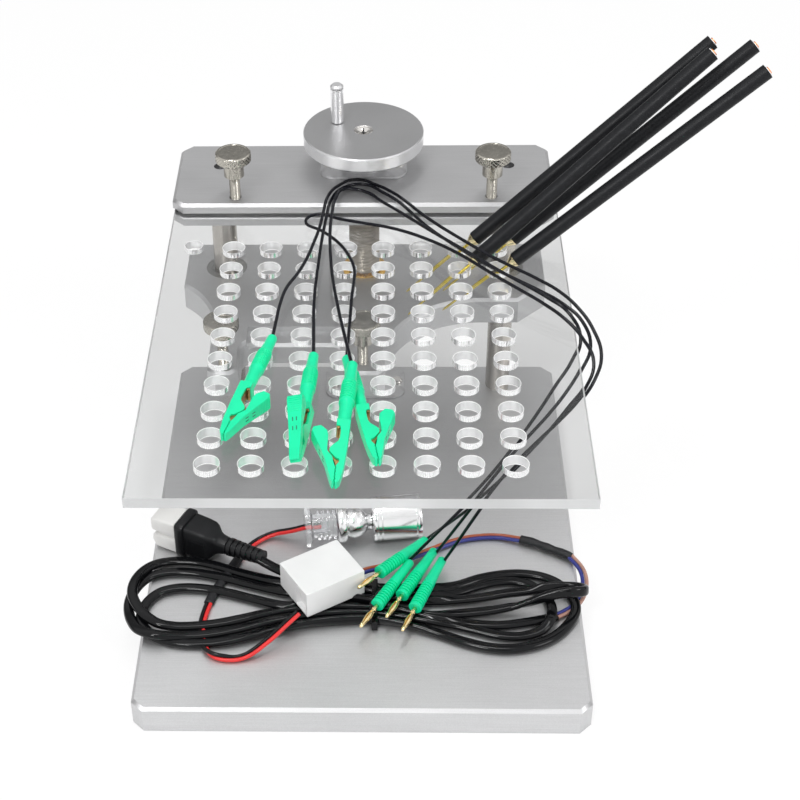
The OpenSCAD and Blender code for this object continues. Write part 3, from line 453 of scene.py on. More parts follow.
own_finish = {
    "hand_wheel": wheel_metal, "top_plate": top_metal, "top_bearing": bearing_face, "base_bearing": bearing_face,
    "column_screws": black_steel, "crank_sleeve": crank_metal, "crank_post": aluminium,
}
for row in frame["record"]["subparts"]:
    piece = nodes[row["node"]]
    piece.data.materials.clear()
    finish = own_finish.get(row["node"], finishes[row["material_slot"]])
    piece.data.materials.append(finish.material)


# Cords

def mm(*values):
    return [tuple(v * MM for v in p) for p in values]


# Each test lead from its clip to its plug
test_leads = [
    [(-39.2, -38, 155.4), (-35.2, -2, 156.5), (-27.5, 18, 157.4), (-20.5, 51, 158.4), (-16.4, 78, 160.4),
     (-4.5, 95.2, 158.2), (13.5, 81, 159.8), (32.5, 50, 162.4), (58, 17.5, 164), (95.5, -15, 159),
     (106.5, -41, 148), (98, -57, 138), (66, -60, 95), (39.6, -41, 24)],
    [(-20.3, -53, 156.6), (-21.4, -10, 156.6), (-20.4, 22, 156), (-18.4, 54, 156.6), (-14, 80, 158.6),
     (-3.4, 91.5, 158.2), (14.4, 77, 158.6), (32.5, 46, 159.8), (57, 14, 161), (95, -19, 157),
     (102.5, -32, 150), (92, -50, 135), (67, -58, 102), (36, -35, 24)],
    [(-3.1, -67.5, 162.4), (-10.2, -20, 159.6), (-14.2, 16, 158.6), (-15.2, 51, 160.8), (-11.6, 78.6, 160.6),
     (-4.5, 87.4, 158.2), (9.6, 73, 158.6), (32.5, 40, 162.6), (58, 10, 163.4), (95.4, -23, 155.6),
     (98.2, -30, 147), (86, -44, 130), (62, -53, 92), (22.8, -40.5, 24)],
    [(-5.9, -53.3, 155.4), (-4.4, -3, 154.2), (-4, 24, 153.4), (-13, 47, 153), (-30, 68, 153),
     (-26, 70.5, 153.2), (-7, 62, 154.6), (17, 50, 157), (40, 30, 159.4), (60, 7, 160),
     (94.5, -28, 155), (103.2, -44, 144.2), (91, -54, 125.8), (62.6, -50, 80), (31.6, -25, 24)],
]


# Frames of the pieces, as in the source: place, then turns about Z, Y and X in degrees

def frame_at(place, z=0, y=0, x=0):
    turn = Matrix.Rotation(math.radians(z), 4, "Z") @ Matrix.Rotation(math.radians(y), 4, "Y")
    return Matrix.Translation(Vector(place) * MM) @ turn @ Matrix.Rotation(math.radians(x), 4, "X")


along_x = Matrix.Rotation(math.radians(90), 4, "Y")


def lying(part):
    """Turns a body of revolution about Z so that it lies along X."""
    return [tuple(along_x @ Vector(c)) for c in part[0]], part[1]


def moved(part, matrix):
    """Puts a part, in mm, through a matrix in metres."""
    return [tuple((matrix @ (Vector(c) * MM)) / MM) for c in part[0]], part[1]


def block(x0, x1, y0, y1, z0, z1):
    corners = [(x, y, z) for z in (z0, z1) for y in (y0, y1) for x in (x0, x1)]
    return corners, [(0, 2, 3, 1), (4, 5, 7, 6), (0, 1, 5, 4), (2, 6, 7, 3), (0, 4, 6, 2), (1, 3, 7, 5)]


# Each plug's wire end and the far end of its sleeve
plugs = [
    ((31, -25.6, 24), (8.2, -53, 27.6)), ((23.3, -41.7, 24), (7, -71.7, 24)),
    ((35.2, -33.4, 24), (18.8, -65.1, 24)), ((39, -39.7, 24), (25, -73.4, 24)),
]


def make_plugs():
    """Ribbed sleeves and sprung pins of the four plugs."""
    pairs = []
    big, small, rib_pitch, ribbed = 3.0, 2.2, 1.7, 16.2
    for number, (wire_end, pin_end) in enumerate(plugs, 1):
        run = Vector(pin_end) - Vector(wire_end)
        size = run.length
        place = frame_at(wire_end, math.degrees(math.atan2(run.y, run.x)), -math.degrees(math.asin(run.z / size)))
        ribs_from = size - ribbed
        profile = [(0.9, 0.1), (small - 0.35, 0), (small, 0.5)]
        profile += [(small + (big - small) * t ** 1.3, 0.5 + (ribs_from - 0.5) * t) for t in (0.25, 0.5, 0.75, 1)]
        for k in range(9):
            u = ribs_from + 0.3 + k * rib_pitch
            r = big + 0.02 * k
            profile += [(r - 0.6, u), (r - 0.6, u + 0.4), (r + 0.1, u + 0.7), (r + 0.1, u + 1.5)]
        profile += [(big + 0.25, size - 0.3), (big - 0.1, size), (1.1, size), (1.1, size - 2)]
        sleeve = joined("plug_sleeve_%d" % number, [lying(turned(profile, 36))], green, place, 35)
        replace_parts(sleeve, "plug_sleeves")
        cage = [(0.95, -1), (0.95, 2.4), (1.3, 2.6), (1.3, 3.3), (0.95, 3.5), (0.95, 4.4), (1.05, 5), (1.35, 6.2),
                (1.5, 7.5), (1.52, 8.6), (1.42, 10), (1.15, 11.6), (0.98, 12.8), (1.0, 14.2), (0.85, 15.4),
                (0.45, 16)]

        def leaf(k, row):
            return -0.75 * cage[row][0] if k % 6 == 0 and 6 <= row <= 12 else 0

        pin = turned([(r, size + u) for r, u in cage], 24, leaf)
        pin = joined("plug_pin_%d" % number, [lying(pin)], gold, place, 50)
        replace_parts(pin, "plug_pins")
        pairs.append([sleeve, pin])
    return pairs


plug_pairs = make_plugs()


def make_test_lead(number, route):
    thick = 0.0016
    line = rounded(mm(*route), 12)
    line = even(line, length_of(line) / 37)
    piece = curve_of("test_lead_wire_%d" % number, line, thick / 2, lead_black)
    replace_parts(piece, "test_lead_%d" % number)


for number, route in enumerate(test_leads, 1):
    make_test_lead(number, route)


# Mains cord from its sheath end, through the hank's turns, to the plug: place in mm and roll in degrees.
# A point with no height and roll lies flat on the base plate.
flat_on_base = 16.4, 0
mains_route = [
    (92.6, -70.8), (86, -72.9), (78.4, -74.8), (67, -76.8), (55.7, -76.6), (44.4, -75, 16.4, 10),
    (33.1, -73.4, 16.8, 45), (20, -69, 17.3, 85), (6, -64.2, 19.4, 90), (-8, -60.5, 18.4, 80), (-22, -58, 17.4, 50),
    (-37.4, -55.5, 17, 20), (-48, -52.1), (-58.6, -48.6), (-71, -44.4), (-81.7, -41.9), (-90.8, -41.2),
    (-98.3, -42.1), (-104.8, -45.1), (-108.6, -49.6), (-111.4, -55.8), (-112.5, -62.2), (-111.8, -69.4),
    (-109.4, -76.7, 17.5, 0), (-105.5, -83.2, 19, 0), (-98.5, -86.9, 19.8, 0), (-90.7, -86.7, 18.4, 0),
    (-81.5, -85.3, 17, 0), (-70.9, -83.4), (-60.2, -80.8, 16.4, 10), (-49.4, -77.8, 17, 30), (-37.9, -74.7, 17, 50),
    (-20, -71.4, 17.3, 80), (6, -70.6, 17.3, 90), (20, -73, 17.3, 80), (34.6, -75.7, 17, 40),
    (44.4, -77.2, 16.4, 10), (54, -80.2), (63.6, -83.3), (72.5, -84.3), (80.1, -83, 16.9, 0),
    (85.6, -80.6, 18.3, 0), (89, -75.6, 19.6, 0), (90.3, -68.3, 18.6, 0), (89.3, -59.8), (85.9, -53.8),
    (80.8, -49.4), (73.2, -47.2), (64.7, -47.8), (54.5, -51.2), (45.1, -55.1, 16.4, 10), (35.8, -57.4, 17, 40),
    (20, -57.2, 17.3, 85), (6, -56.1, 17.3, 90), (-10, -53.4, 17.3, 80), (-24, -51.5, 17.2, 50),
    (-39.1, -49.1, 17, 20), (-47.5, -46.5, 17, 0), (-59.1, -42.1), (-70.8, -37.3), (-79.3, -34.6), (-87.8, -33.5),
    (-96.1, -33.9), (-103.2, -38, 18, 0), (-108.4, -44.6, 19, 0), (-111.1, -53, 19.8, 0), (-111, -60.4, 19.8, 0),
    (-108, -67.7, 19.8, 0), (-102.8, -74.8, 19.8, 0), (-96.5, -79.1, 19, 0), (-88.6, -79.6, 17.5, 0),
    (-78.6, -78.2), (-67.8, -76.3), (-57, -73.8, 17, 0), (-46.2, -70.2, 17, 20), (-36.8, -68.5, 17, 50),
    (-18, -66.5, 17.3, 80), (6, -67.2, 17.3, 90), (20, -68.6, 17.3, 80), (33.2, -70.4, 17, 40),
    (46.1, -69.8, 17, 0), (59.8, -68.4, 17.5, 0), (71.2, -67, 18.9, 25), (79, -66.6, 21.4, 65),
    (86.5, -66.2, 24.6, 100), (93, -66, 26.8, 118), (100, -66, 27.8, 124), (104.6, -64.4, 26.75, 110),
    (106.5, -60.6, 24.2, 90), (104.6, -56.8, 21.7, 70), (100, -55.2, 20.7, 56), (93, -55.1, 20.6, 45),
    (86.5, -55.6, 20.3, 25), (79.4, -56.8, 19.6, 5), (67.9, -57.7, 18.5, 0), (56.4, -59.5, 17.5, 0),
    (44.9, -60.7, 17, 0), (33.4, -61.3, 17, 40), (20, -61, 17.3, 80), (6, -60.2, 17.3, 90), (-10, -61, 17.3, 80),
    (-24, -63.6, 17.2, 50), (-35.4, -65.4, 17, 20), (-42.9, -63.7, 17, 0), (-53.5, -59.7), (-64.1, -56.1),
    (-74.8, -53.3), (-83.8, -52.3), (-91.2, -52.8), (-97.7, -55.2), (-102.4, -60), (-105.1, -66.3), (-105.7, -72.5),
    (-104.1, -78.1), (-99.1, -84.1), (-92.2, -87.8), (-83.3, -89.7), (-73.2, -89.6), (-63.2, -88.5, 17, 0),
    (-52.6, -85.4, 17, 20), (-42, -81.3, 17, 40), (-22, -76.2, 17.3, 80), (6, -74.2, 17.3, 90),
    (25.5, -78.4, 17, 40), (36.7, -82.5, 16.4, 10), (47.8, -87.6), (58.8, -91.1), (69.8, -92), (79.6, -89.9),
    (88.1, -85.8), (94.5, -80), (99.6, -72.6), (101.9, -66.2), (101.5, -59.7), (98.3, -52.6), (93.3, -47.1),
    (86.7, -43.5), (78.2, -41.8), (68.9, -42.2), (57.1, -45.1), (45.2, -50.2), (33.5, -52.8, 17, 30),
    (20, -53.4, 17.3, 80), (6, -52.4, 17.3, 90), (-8, -49.2, 17.3, 80), (-20, -47.6, 17.6, 50),
    (-30, -47, 18.6, 20), (-38.6, -45.4, 20.8, 0), (-46, -42.8, 23.2, 0), (-51.5, -40.2, 25, 0),
]


def lofted(sections, per=6):
    """Rounded rectangles across X: (x, width, height, corner radius, shift up)."""
    corners = []
    for x, w, h, r, dz in sections:
        for q in range(4):
            cy, cz = (w / 2 - r) * (1, -1, -1, 1)[q], (h / 2 - r) * (1, 1, -1, -1)[q]
            for k in range(per + 1):
                a = math.pi / 2 * (q + k / per)
                corners.append((x, cy + r * math.cos(a), cz + r * math.sin(a) + dz))
    return corners, capped(len(sections), 4 * (per + 1))


def make_mains_plug():
    """Moulded plug: flange, curved body with a grooved grip in each side, and the cover on its prongs."""
    place = frame_at((-90, -20.5, 24.9), -25)
    flange = lofted([(0, 15.4, 18.8, 2.2, 0), (0.5, 16.6, 20.2, 2.6, 0), (1.2, 17, 20.6, 2.8, 0),
                     (3.9, 17, 20.6, 2.8, 0), (4.6, 16.6, 20.2, 2.6, 0), (5, 15.4, 18.8, 2.2, 0)])
    body = lofted([(4.6, 14.6, 17.4, 1.6, 0), (8, 14.5, 17.2, 1.6, 0), (13, 14.2, 16.4, 1.6, 0),
                   (16.5, 13.8, 15.4, 1.7, 0), (18.2, 12.8, 14, 2, 0), (19.4, 11, 12, 2.4, 0),
                   (20.6, 9.4, 10.4, 2.8, 0), (22, 8.6, 9.4, 3, 0), (24, 8.2, 8.8, 3.2, 0), (26, 8, 8.2, 3.4, 0)])
    grips, groove = [], 0.66
    for side in (-1, 1):
        for k in range(14):
            x = 6.4 + groove * k
            y = side * (7.52 - 0.03 * max(0, x - 8))
            grips.append(block(x, x + groove / 2, *sorted((y, y - side)), -6.4, 1.8))
        for z in (-7.1, 2.2):
            grips.append(block(6, 16.2, *sorted((6.6 * side, 7.62 * side)), z, z + 0.45))
    piece = joined("mains_plug_body", [flange, body] + grips, plug_black, place, 42)
    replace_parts(piece, "mains_plug")
    upper = [(-14, 12.6, 6.6, 0.9, 5.0), (-13.3, 13.6, 8.0, 1.2, 5.0), (-0.4, 14.2, 8.4, 1.2, 5.0)]
    lower = [(-14, 11.6, 3.4, 0.9, -4.6), (-12, 13.4, 8.2, 1.1, -5.2), (-0.4, 14.2, 8.2, 1.1, -5.2)]
    waist = [(-10.6, 11.4, 4, 0.6, 0), (-0.4, 11.8, 4, 0.6, 0)]
    shells = [lofted(upper, 3), lofted(lower, 3), lofted(waist, 2)]
    cover = joined("prong_cover_shell", shells, cover_white, place, 50)
    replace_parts(cover, "prong_cover")
    return piece, cover


mains_plug_body, prong_cover_shell = make_mains_plug()


def make_tie_tail():
    """Twisted end of the wire tie on the hank."""
    spine = [(5.6, -74.2, 21.6), (4.6, -71, 22.6), (5.4, -67.4, 24), (8.4, -63.6, 24.6), (11.6, -61.6, 24.2)]
    spine = rounded(spine, 10)
    share = np.linspace(0, 1, len(spine))
    wide = np.interp(share, [0, 0.15, 0.85, 1], [1.3, 0.62, 0.62, 1.0])[:, None]
    across, up = axes_along(spine)
    strands = []
    for start in (0, math.pi):
        spin = (start + 5.5 * math.pi * share)[:, None]
        strands.append(tube(spine + wide * (across * np.cos(spin) + up * np.sin(spin)), circle(8, 0.6)))
    joined("tie_tail", strands, shrink, flat=60)


make_tie_tail()


def flat_cord_section(w, h, sides=20, groove=0.12):
    """Closed outline of a flat twin cord, with a shallow groove along the middle of both faces."""
    r, off = h / 2, (w - h) / 2
    out = []
    for k in range(sides):
        a = 2 * math.pi * (k + 0.5) / sides
        x, y = math.cos(a), math.sin(a)
        px = (off if x > 0 else -off) + r * x
        py = r * y * (1 - groove * max(0, 1 - abs(px) / (0.5 * w) * 2.2))
        out.append((px, py))
    return out


base_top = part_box("base_plate")[1].z
cord_w, cord_t = 0.0052, 0.0033


def make_mains_cord():
    data = np.array([stop if len(stop) == 4 else stop + flat_on_base for stop in mains_route], float)
    data[:, :3] *= MM
    data[:, 3] = np.radians(data[:, 3]) * MM    # small beside the places, so that it doesn't bend the line
    line = even(rounded(data, 8), 0.0012)
    line[:, 3] /= MM
    half = cord_t / 2 + (cord_w - cord_t) / 2 * np.abs(np.sin(line[:, 3]))
    line[:, 2] = np.maximum(line[:, 2], base_top + 0.00015 + half)
    made = tube(line[:, :3], flat_cord_section(cord_w, cord_t), line[:, 3])
    piece = linked("mains_cord", mesh_of("mains_cord", *made), cord_black)
    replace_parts(piece, "mains_hank", "mains_lead")


make_mains_cord()


def side_line(points, side, swap=None):
    """The line of one wire of a pair; at swap, a share of the length, the two change sides."""
    line = rounded(points, 4)
    across = axes_along(line)[0]
    turn = np.zeros(len(line))
    if swap is not None:
        share = np.linspace(0, 1, len(line))
        turn = np.pi * np.clip((share - swap) / swap_over + 0.5, 0, 1)
    out = line + across * (np.cos(turn) * side * wire_gap)[:, None]
    if side > 0:
        out[:, 2] += np.sin(turn) * 2 * wire_r
    out[:, 2] = np.maximum(out[:, 2], base_top + wire_r + 0.0001)
    return out


wire_r, wire_gap, swap_over = 0.00096, 0.00098, 0.14


def wire(name, points, side, finish, swap=None, replaced=()):
    line = side_line(points, side, swap)
    line = even(line, length_of(line) / 36)
    piece = curve_of(name, line, wire_r, finish)
    if replaced:
        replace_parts(piece, *replaced)


# Middle lines of the wire pairs
lamp_lead_route = mm(
    (-27, -17, 25.3), (-36, -15, 20.5), (-46, -14, 17), (-56, -21, 15.9), (-67, -43, 15.9), (-74, -62, 15.9),
    (-76, -82, 15.9), (-70, -97, 15.9), (-56, -98, 15.9), (-44, -91, 20), (-36, -84, 23.5), (-30, -78.6, 26))
driver_pair_route = mm(
    (-4, -52, 25), (2, -47, 23.5), (13, -40, 20.5), (33, -25.5, 16.6), (49, -16.5, 15.9), (66, -14, 15.9),
    (80, -18, 17.1))
hank_pair_route = mm(
    (102, -29.2, 17.1), (106.6, -37.1, 16.6), (108, -43, 16.1), (107.6, -50, 16), (105.6, -57, 16), (102, -63, 16),
    (97.5, -67, 16), (92.4, -70.6, 16.4))
wire("lamp_wire_red", lamp_lead_route, -1, wire_red, 0.64, ["lamp_lead"])
wire("lamp_wire_black", lamp_lead_route, 1, wire_black, 0.64)
wire("supply_wire_brown", driver_pair_route, -1, wire_brown, None, ["supply_pair"])
wire("supply_wire_blue", driver_pair_route, 1, wire_blue)
wire("mains_wire_brown", hank_pair_route, -1, wire_pale)
wire("mains_wire_blue", hank_pair_route, 1, wire_blue)


def make_shrink_sleeve():
    """Shrink sleeve over the joint of the wires, lumpy where the joints are."""
    route = mm((78.6, -17.3, 17), (85, -20, 17.2), (91, -23.2, 17.1), (97, -26.4, 17), (103, -29.9, 17))
    line = even(rounded(route, 8), 0.0006)
    lumps = ((0.06, 2.15), (0.2, 2.3), (0.36, 1.95), (0.52, 2.25), (0.66, 1.9), (0.8, 2.2), (0.94, 2.1), (1.0, 1.7))
    radius = np.interp(np.linspace(0, 1, len(line)), [a for a, _ in lumps], [b for _, b in lumps]) * MM
    sides, wide, tall = 20, 1.08, 0.96
    corners = [place + side * x + np.array([0, 0, y])
               for place, side, r in zip(line, axes_along(line)[0], radius)
               for x, y in circle(sides, wide * r, tall * r)]
    data = mesh_of("shrink_sleeve", corners, capped(len(line), sides))
    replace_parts(linked("shrink_sleeve", data, shrink), "splice_sleeve")


make_shrink_sleeve()


def make_wire_wrap():
    """Black wrap on the lamp's wires where they pass under the hank."""
    line = even(rounded(lamp_lead_route, 12), 0.001)
    line = np.array([q for q in line if -0.0625 < q[1] < -0.030 and q[0] < -0.05])
    line[:, 2] = base_top + 0.0014
    made = tube(line, circle(16, 0.0025, 0.0013))
    linked("wire_wrap", mesh_of("wire_wrap", *made), shrink)


make_wire_wrap()


# Finer edges on the CAD parts

edge_widths = {
    0: ("hole_plate", "guide_columns"),
    0.1: ("lamp_lens", "column_screws", "bearing_screws"),
    0.12: ("probe_pen_1", "probe_pen_2", "probe_pen_3", "probe_pen_4"),
    0.2: ("carrier_nut", "column_bearings", "crank_sleeve", "plug_strain_relief", "lamp_socket", "base_screws"),
    0.25: ("crank_post",),
    0.3: ("top_plate", "clamp_bar", "hand_wheel", "base_bearing", "top_bearing", "hank_tie"),
    0.35: ("base_plate", "carrier", "supply_box"),
}
for width, names in edge_widths.items():
    for name in names:
        soften(name, width)


# Cut faces of the clear plate

plate_low, plate_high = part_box("hole_plate")
cols, rows, grid, middle, back_row, hole_r = 8, 10, 18, 1, 43, 5.5
holes = [(middle + (col - (cols - 1) / 2) * grid, back_row - row * grid, hole_r)
         for col in range(cols) for row in range(rows)]
side_hole = -81.5, 45.2, 4.5
holes.append(side_hole)


def make_hole_rings(name, finish, low, high, thick):
    """A thin ring inside each hole of the clear plate, from low to high."""
    corners, faces, sides = [], [], 48
    for x, y, r in holes:
        faces += bands(4, sides, len(corners), hoop=True)
        for z, radius in ((low, r), (low, r - thick), (high, r - thick), (high, r)):
            corners += [(x * MM + u, y * MM + v, z) for u, v in circle(sides, radius * MM)]
    data = mesh_of(name, corners, faces)
    data.set_sharp_from_angle(angle=math.radians(50))
    linked(name, data, finish)


def make_plate_edge():
    """Sawn edge of the clear plate: a thin band just inside its outline, on all four sides."""
    inset, thick, low, high = 0.00004, 0.00012, plate_low.z + 0.00004, plate_high.z - 0.00003
    corners = []
    for z, d in ((low, inset), (low, inset + thick), (high, inset + thick), (high, inset)):
        x0, y0, x1, y1 = plate_low.x + d, plate_low.y + d, plate_high.x - d, plate_high.y - d
        corners += [(x0, y0, z), (x1, y0, z), (x1, y1, z), (x0, y1, z)]
    linked("plate_edge", mesh_of("plate_edge", corners, bands(4, 4, hoop=True), False), edge_frost)


bottom, top = plate_low.z, plate_high.z
make_hole_rings("hole_walls", frosted, bottom + 0.0004, top - 0.0004, 0.1)
# Thin white rings at the top and bottom edges of the holes: painted highlight.
make_hole_rings("hole_rims_top", rim_highlight, top - 0.00034, top - 0.00003, 0.16)
make_hole_rings("hole_rims_bottom", rim_highlight, bottom + 0.00003, bottom + 0.0003, 0.14)
make_plate_edge()


# Clips

def wedge(profile, wide, narrow):
    """A side profile, from the clip's boot to its tip, with a thickness that tapers along X."""
    start, end = 36, 72
    n = len(profile)
    corners = []
    for side in (-1, 1):
        for u, v in profile:
            corners.append((u, v, side * (wide + (narrow - wide) * min(1, max(0, (u - start) / (end - start))))))
    return corners, bands(2, n) + [tuple(range(n))[::-1], tuple(range(n, 2 * n))]


teeth = [(71, 0.35), (70.3, -0.1), (69.1, 0.4), (68.4, 0), (67.2, 0.5), (66.5, 0.05), (65.3, 0.55), (64.6, 0.1)]
body_outline = [(37.5, -3), (52, -3.1), (64, -2.75), (70.4, -1.9), (72, -0.9), (72, -0.1)] + teeth
body_outline += [(63.4, 0.6), (62.4, 0.1), (61.2, -0.5), (59.6, -0.5), (58.9, 1.1), (56.2, 3.6), (55.2, 4.0),
                 (53.8, 3.9), (52.2, 2.9), (50, 1.1), (48, 0.5), (43.5, 0.6), (41.6, 0.9), (41.0, 2.6), (37.5, 2.8)]
lever_outline = [(42.2, 8.8), (44.6, 6.0), (47.4, 5.25), (51.8, 5.1), (55.6, 4.75), (57.2, 3.5), (58.6, 2.3),
                 (60.4, 1.9), (62.2, 1.35)]
lever_outline += [(u, v + 0.32) for u, v in teeth[::-1]]
lever_outline += [(72, 0.25), (72, 1.1), (70.6, 1.9), (60, 5.3), (54, 8.1), (49, 10.6), (45.4, 12.2), (43.4, 11.8)]
liner_outline = [(41.5, -1.4), (52, -1.6), (62, -1.4), (69.5, -0.7), (69.5, 0.15), (63, 0.55), (60.6, 1.3),
                 (58.4, 2.5), (57, 3.6), (55.9, 4.4), (53.4, 4.35), (51.6, 3.1), (49.6, 1.5), (47.6, 1.0), (41.5, 1.15)]
clips = [
    ((-39, -37, 155.35), -103.5, 0, 0), ((-20.2, -52, 156.75), -94.2, 0, 104),
    ((-3, -66.5, 162.75), -95, 5.4, 176), ((-5.8, -52.3, 155.35), -79, 0, 0),
]


def make_clip(number, place):
    lever_body = "lever_%d" % number
    boot = [(0.9, 0.9), (0.9, 0), (2.0, 0), (2.25, 0.5), (2.45, 7), (2.8, 10.6), (3.2, 12.2), (3.3, 12.6)]
    for k in range(8):
        u = 12.8 + 1.42 * k
        boot += [(2.8, u), (2.8, u + 0.42), (3.36, u + 0.66), (3.36, u + 1.3)]
    boot += [(3.36, 24.6), (3.36, 25.3), (2.9, 25.9), (2.75, 33), (2.7, 40.4), (2.45, 40.9), (0.4, 40.9)]
    body = joined("clip_body_shell_%d" % number, [lying(turned(boot, 40)), wedge(body_outline, 3.72, 2.1)],
                  green, place, 38)
    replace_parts(edged(body, 0.18), "clip_body_%d" % number)
    ridges = []
    slope = Matrix.Rotation(math.atan2(12.2 - 8.1, 45.4 - 54), 4, "Z")
    for k in range(7):
        at = Matrix.Translation((0.0455 + 0.00092 * k, 0.01216 - 0.00044 * k, 0)) @ slope
        ridges.append(moved(block(-0.22, 0.22, -0.22, 0.3, -2.7, 2.7), at))
    lever = joined("clip_lever_shell_%d" % number, [wedge(lever_outline, 3.72, 2.1)] + ridges, green,
                   place, 38, lever_body)
    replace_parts(edged(lever, 0.18), "clip_lever_%d" % number)
    # Flat dark green blocks where the lever's slots are: painted shade inside the slots.
    slots = []
    for u, v in ((54.4, 7.96), (58.2, 6.2)):
        for side in (-0.8, 0.8):
            at = Matrix.Translation((u * MM, v * MM, side * MM)) @ Matrix.Rotation(math.radians(-25), 4, "Z")
            slots.append(moved(block(-0.9, 0.9, -0.3, 0.04, -0.22, 0.22), at))
    joined("clip_slots_%d" % number, slots, slot_shade_green, place, 30, lever_body)
    pin = turned([(0.3, -3.05), (0.75, -3), (0.75, 3), (0.3, 3.05)], 16)
    pin = moved(pin, Matrix.Translation((0.0418, 0.0017, 0)))
    metal = joined("clip_liner_%d" % number, [wedge(liner_outline, 2.5, 1.3), pin], liner, place, 30)
    edged(metal, 0.08, 1)


for number, clip in enumerate(clips, 1):
    make_clip(number, frame_at(*clip))


# Lamp

def make_lamp():
    """Flange, ball and head of the lamp, and the two wires inside its clear socket."""
    place = frame_at((-29, -17.6, 25.3), 8)
    flange = [(6, 15.7), (8.6, 15.7), (9.5, 16.6), (9.8, 17.6), (9.8, 19.3), (9.4, 20.2), (8.6, 20.9), (7.4, 21),
              (7.0, 20.7)]
    piece = joined("lamp_flange_ring", [lying(turned(flange, 72))], chrome, place, 60)
    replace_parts(piece, "lamp_flange")
    r, at = 7.95, 24.5
    ball = [(r * math.sin(math.radians(a)), at - r * math.cos(math.radians(a))) for a in range(4, 146, 5)]
    ball += [(4.4, 31.1), (4.4, 33.2), (3.8, 33.3)]
    piece = joined("lamp_ball_joint", [lying(turned(ball, 72))], chrome, place, 60, "lamp")
    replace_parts(piece, "lamp_ball")
    wide = 10.5
    head = [(4, 33.45), (9.6, 33.45), (10.3, 33.9), (wide, 34.4)]
    for u in (35.4, 37.6, 55):
        head += [(wide, u), (10.15, u + 0.12), (10.05, u + 0.35), (10.15, u + 0.6), (wide, u + 0.72)]
    head += [(wide, 57.5), (10.3, 57.9), (9.5, 58), (9.2, 57.8), (9.15, 56.9)]
    piece = joined("lamp_head_shell", [lying(turned(head, 96))], chrome, place, 28, "lamp")
    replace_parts(piece, "lamp_head")
    for side, finish, name, slot in ((-1, wire_red, "red", "wire_red"), (1, wire_black, "black", "cord_black")):
        line = [(0.4, side * 1.0, 0), (3, side * 1.15, 0.4), (5.5, side * 1.25, 0), (8, side * 1.1, 0.3)]
        part = tube(rounded(line, 5), circle(12, 0.9))
        joined("lamp_inner_wire_" + name, [part], finish, place, 60)


make_lamp()


# Probe pens

pens = [((49.3, 43), 16.4, 37.6), ((49.3, 25), 18.1, 38.5), ((67.3, 43), 15.7, 36.9), ((67.3, 25), 14.3, 35.6)]


def make_pens():
    """Needles of the pens, the metal cones at their noses and the sockets in their far ends."""
    cones, rings, cores = [], [], []
    needle = [(0.1, -37), (0.25, -36.6), (0.52, -35.4), (0.52, -24.6), (0.7, -24.2), (0.92, -23.6), (0.92, -5.6),
              (0.74, -5.4), (0.74, 8)]
    for number, ((x, y), turn, rise) in enumerate(pens, 1):
        place = frame_at((x, y, 151.5), turn, -rise)
        piece = joined("needle_pin_%d" % number, [lying(turned(needle, 20))], needle_gold, place, 35,
                       "needle_%d" % number)
        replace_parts(piece, "probe_needle_%d" % number)
        cone = [(0.78, 2.0), (1.3, 2.0), (1.42, 2.15), (3.22, 5.5), (3.26, 5.75), (3.0, 5.8)]
        cones.append(moved(lying(turned(cone, 32)), place))
        ring = [(1.92, 138.4), (2.84, 138.4), (2.84, 148.1), (2.64, 148.4), (2.1, 148.4), (1.92, 148.2)]
        rings.append(moved(lying(turned(ring + ring[:1], 40)), place))
        core = [(1.05, 139.6), (1.86, 139.6), (1.86, 148.8), (1.7, 149), (1.2, 149), (1.05, 148.8)]
        cores.append(moved(lying(turned(core + core[:1], 36)), place))
    joined("pen_cones", cones, pale_gold, flat=30)
    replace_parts(joined("pen_end_rings", rings, white, flat=30), "pen_insulators")
    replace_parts(joined("pen_end_cores", cores, copper, flat=30), "pen_sockets")


make_pens()


# Lead screw and thumb screws

def make_lead_screw():
    thread = threaded(8, 0.9, 2.0, 23.4, 151.1, 40)
    foot = turned([(4.8, 14.9), (4.8, 24)], 32)
    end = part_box("lead_screw")[1].z / MM
    rim = [(4.8, 150), (4.8, end - 0.35), (4.45, end - 0.02), (4.0, end), (2.6, end - 0.35), (1.1, end - 1.3),
           (0.5, end - 1.5)]
    at = Matrix.Translation((0, 112 * MM, 0))
    piece = joined("lead_screw_thread", [thread, foot], thread_metal, at, 60, "spindle")
    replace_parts(piece, "lead_screw")
    joined("lead_screw_end", [turned(rim)], bright, at, 50, "spindle")
    # Black block in the slot of the screw's end: painted shade inside the slot.
    slot = block(-0.35, 0.35, -3.4, 3.4, end - 1.6, end - 0.25)
    joined("lead_screw_slot", [slot], black_steel, at, 30, "spindle")


make_lead_screw()


def make_thumb_screw(node, body):
    """Knurled head on a collar, over a threaded shaft."""
    low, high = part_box(node)
    foot, top = low.z / MM, high.z / MM
    place = Matrix.Translation(((low.x + high.x) / 2, (low.y + high.y) / 2, 0))
    head_from, collar_from = top - 5, top - 13.3
    shaft = threaded(2.7, 0.3, 0.8, foot, collar_from + 0.5, 24)
    collar = turned([(2, collar_from), (4.6, collar_from), (5, collar_from + 0.4), (5, head_from - 0.3),
                     (4.7, head_from + 0.2)])
    r, rows = 8.75, 9
    profile = [(4, head_from), (8.1, head_from), (8.45, head_from + 0.35)]
    profile += [(r, head_from + 0.5 + 4 * k / (rows - 1)) for k in range(rows)]
    profile += [(8.4, top - 0.25), (8.05, top - 0.02), (7.3, top), (7.1, top - 0.14), (0.5, top - 0.1)]

    def knurl(k, row):
        if not 3 <= row < 3 + rows:
            return 0
        return -0.3 if (k + row) % 4 == 0 or (k - row) % 4 == 0 else 0

    head = turned(profile, 120, knurl)
    piece = joined(node + "_knurled", [shaft, collar, head], nickel, place, 24, body)
    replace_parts(piece, node)


for row, joint in (("top", "clamp"), ("arm", "arm")):
    for side in ("left", "right"):
        make_thumb_screw("%s_thumb_screw_%s" % (row, side), "%s_screw_%s" % (joint, side))


# Light

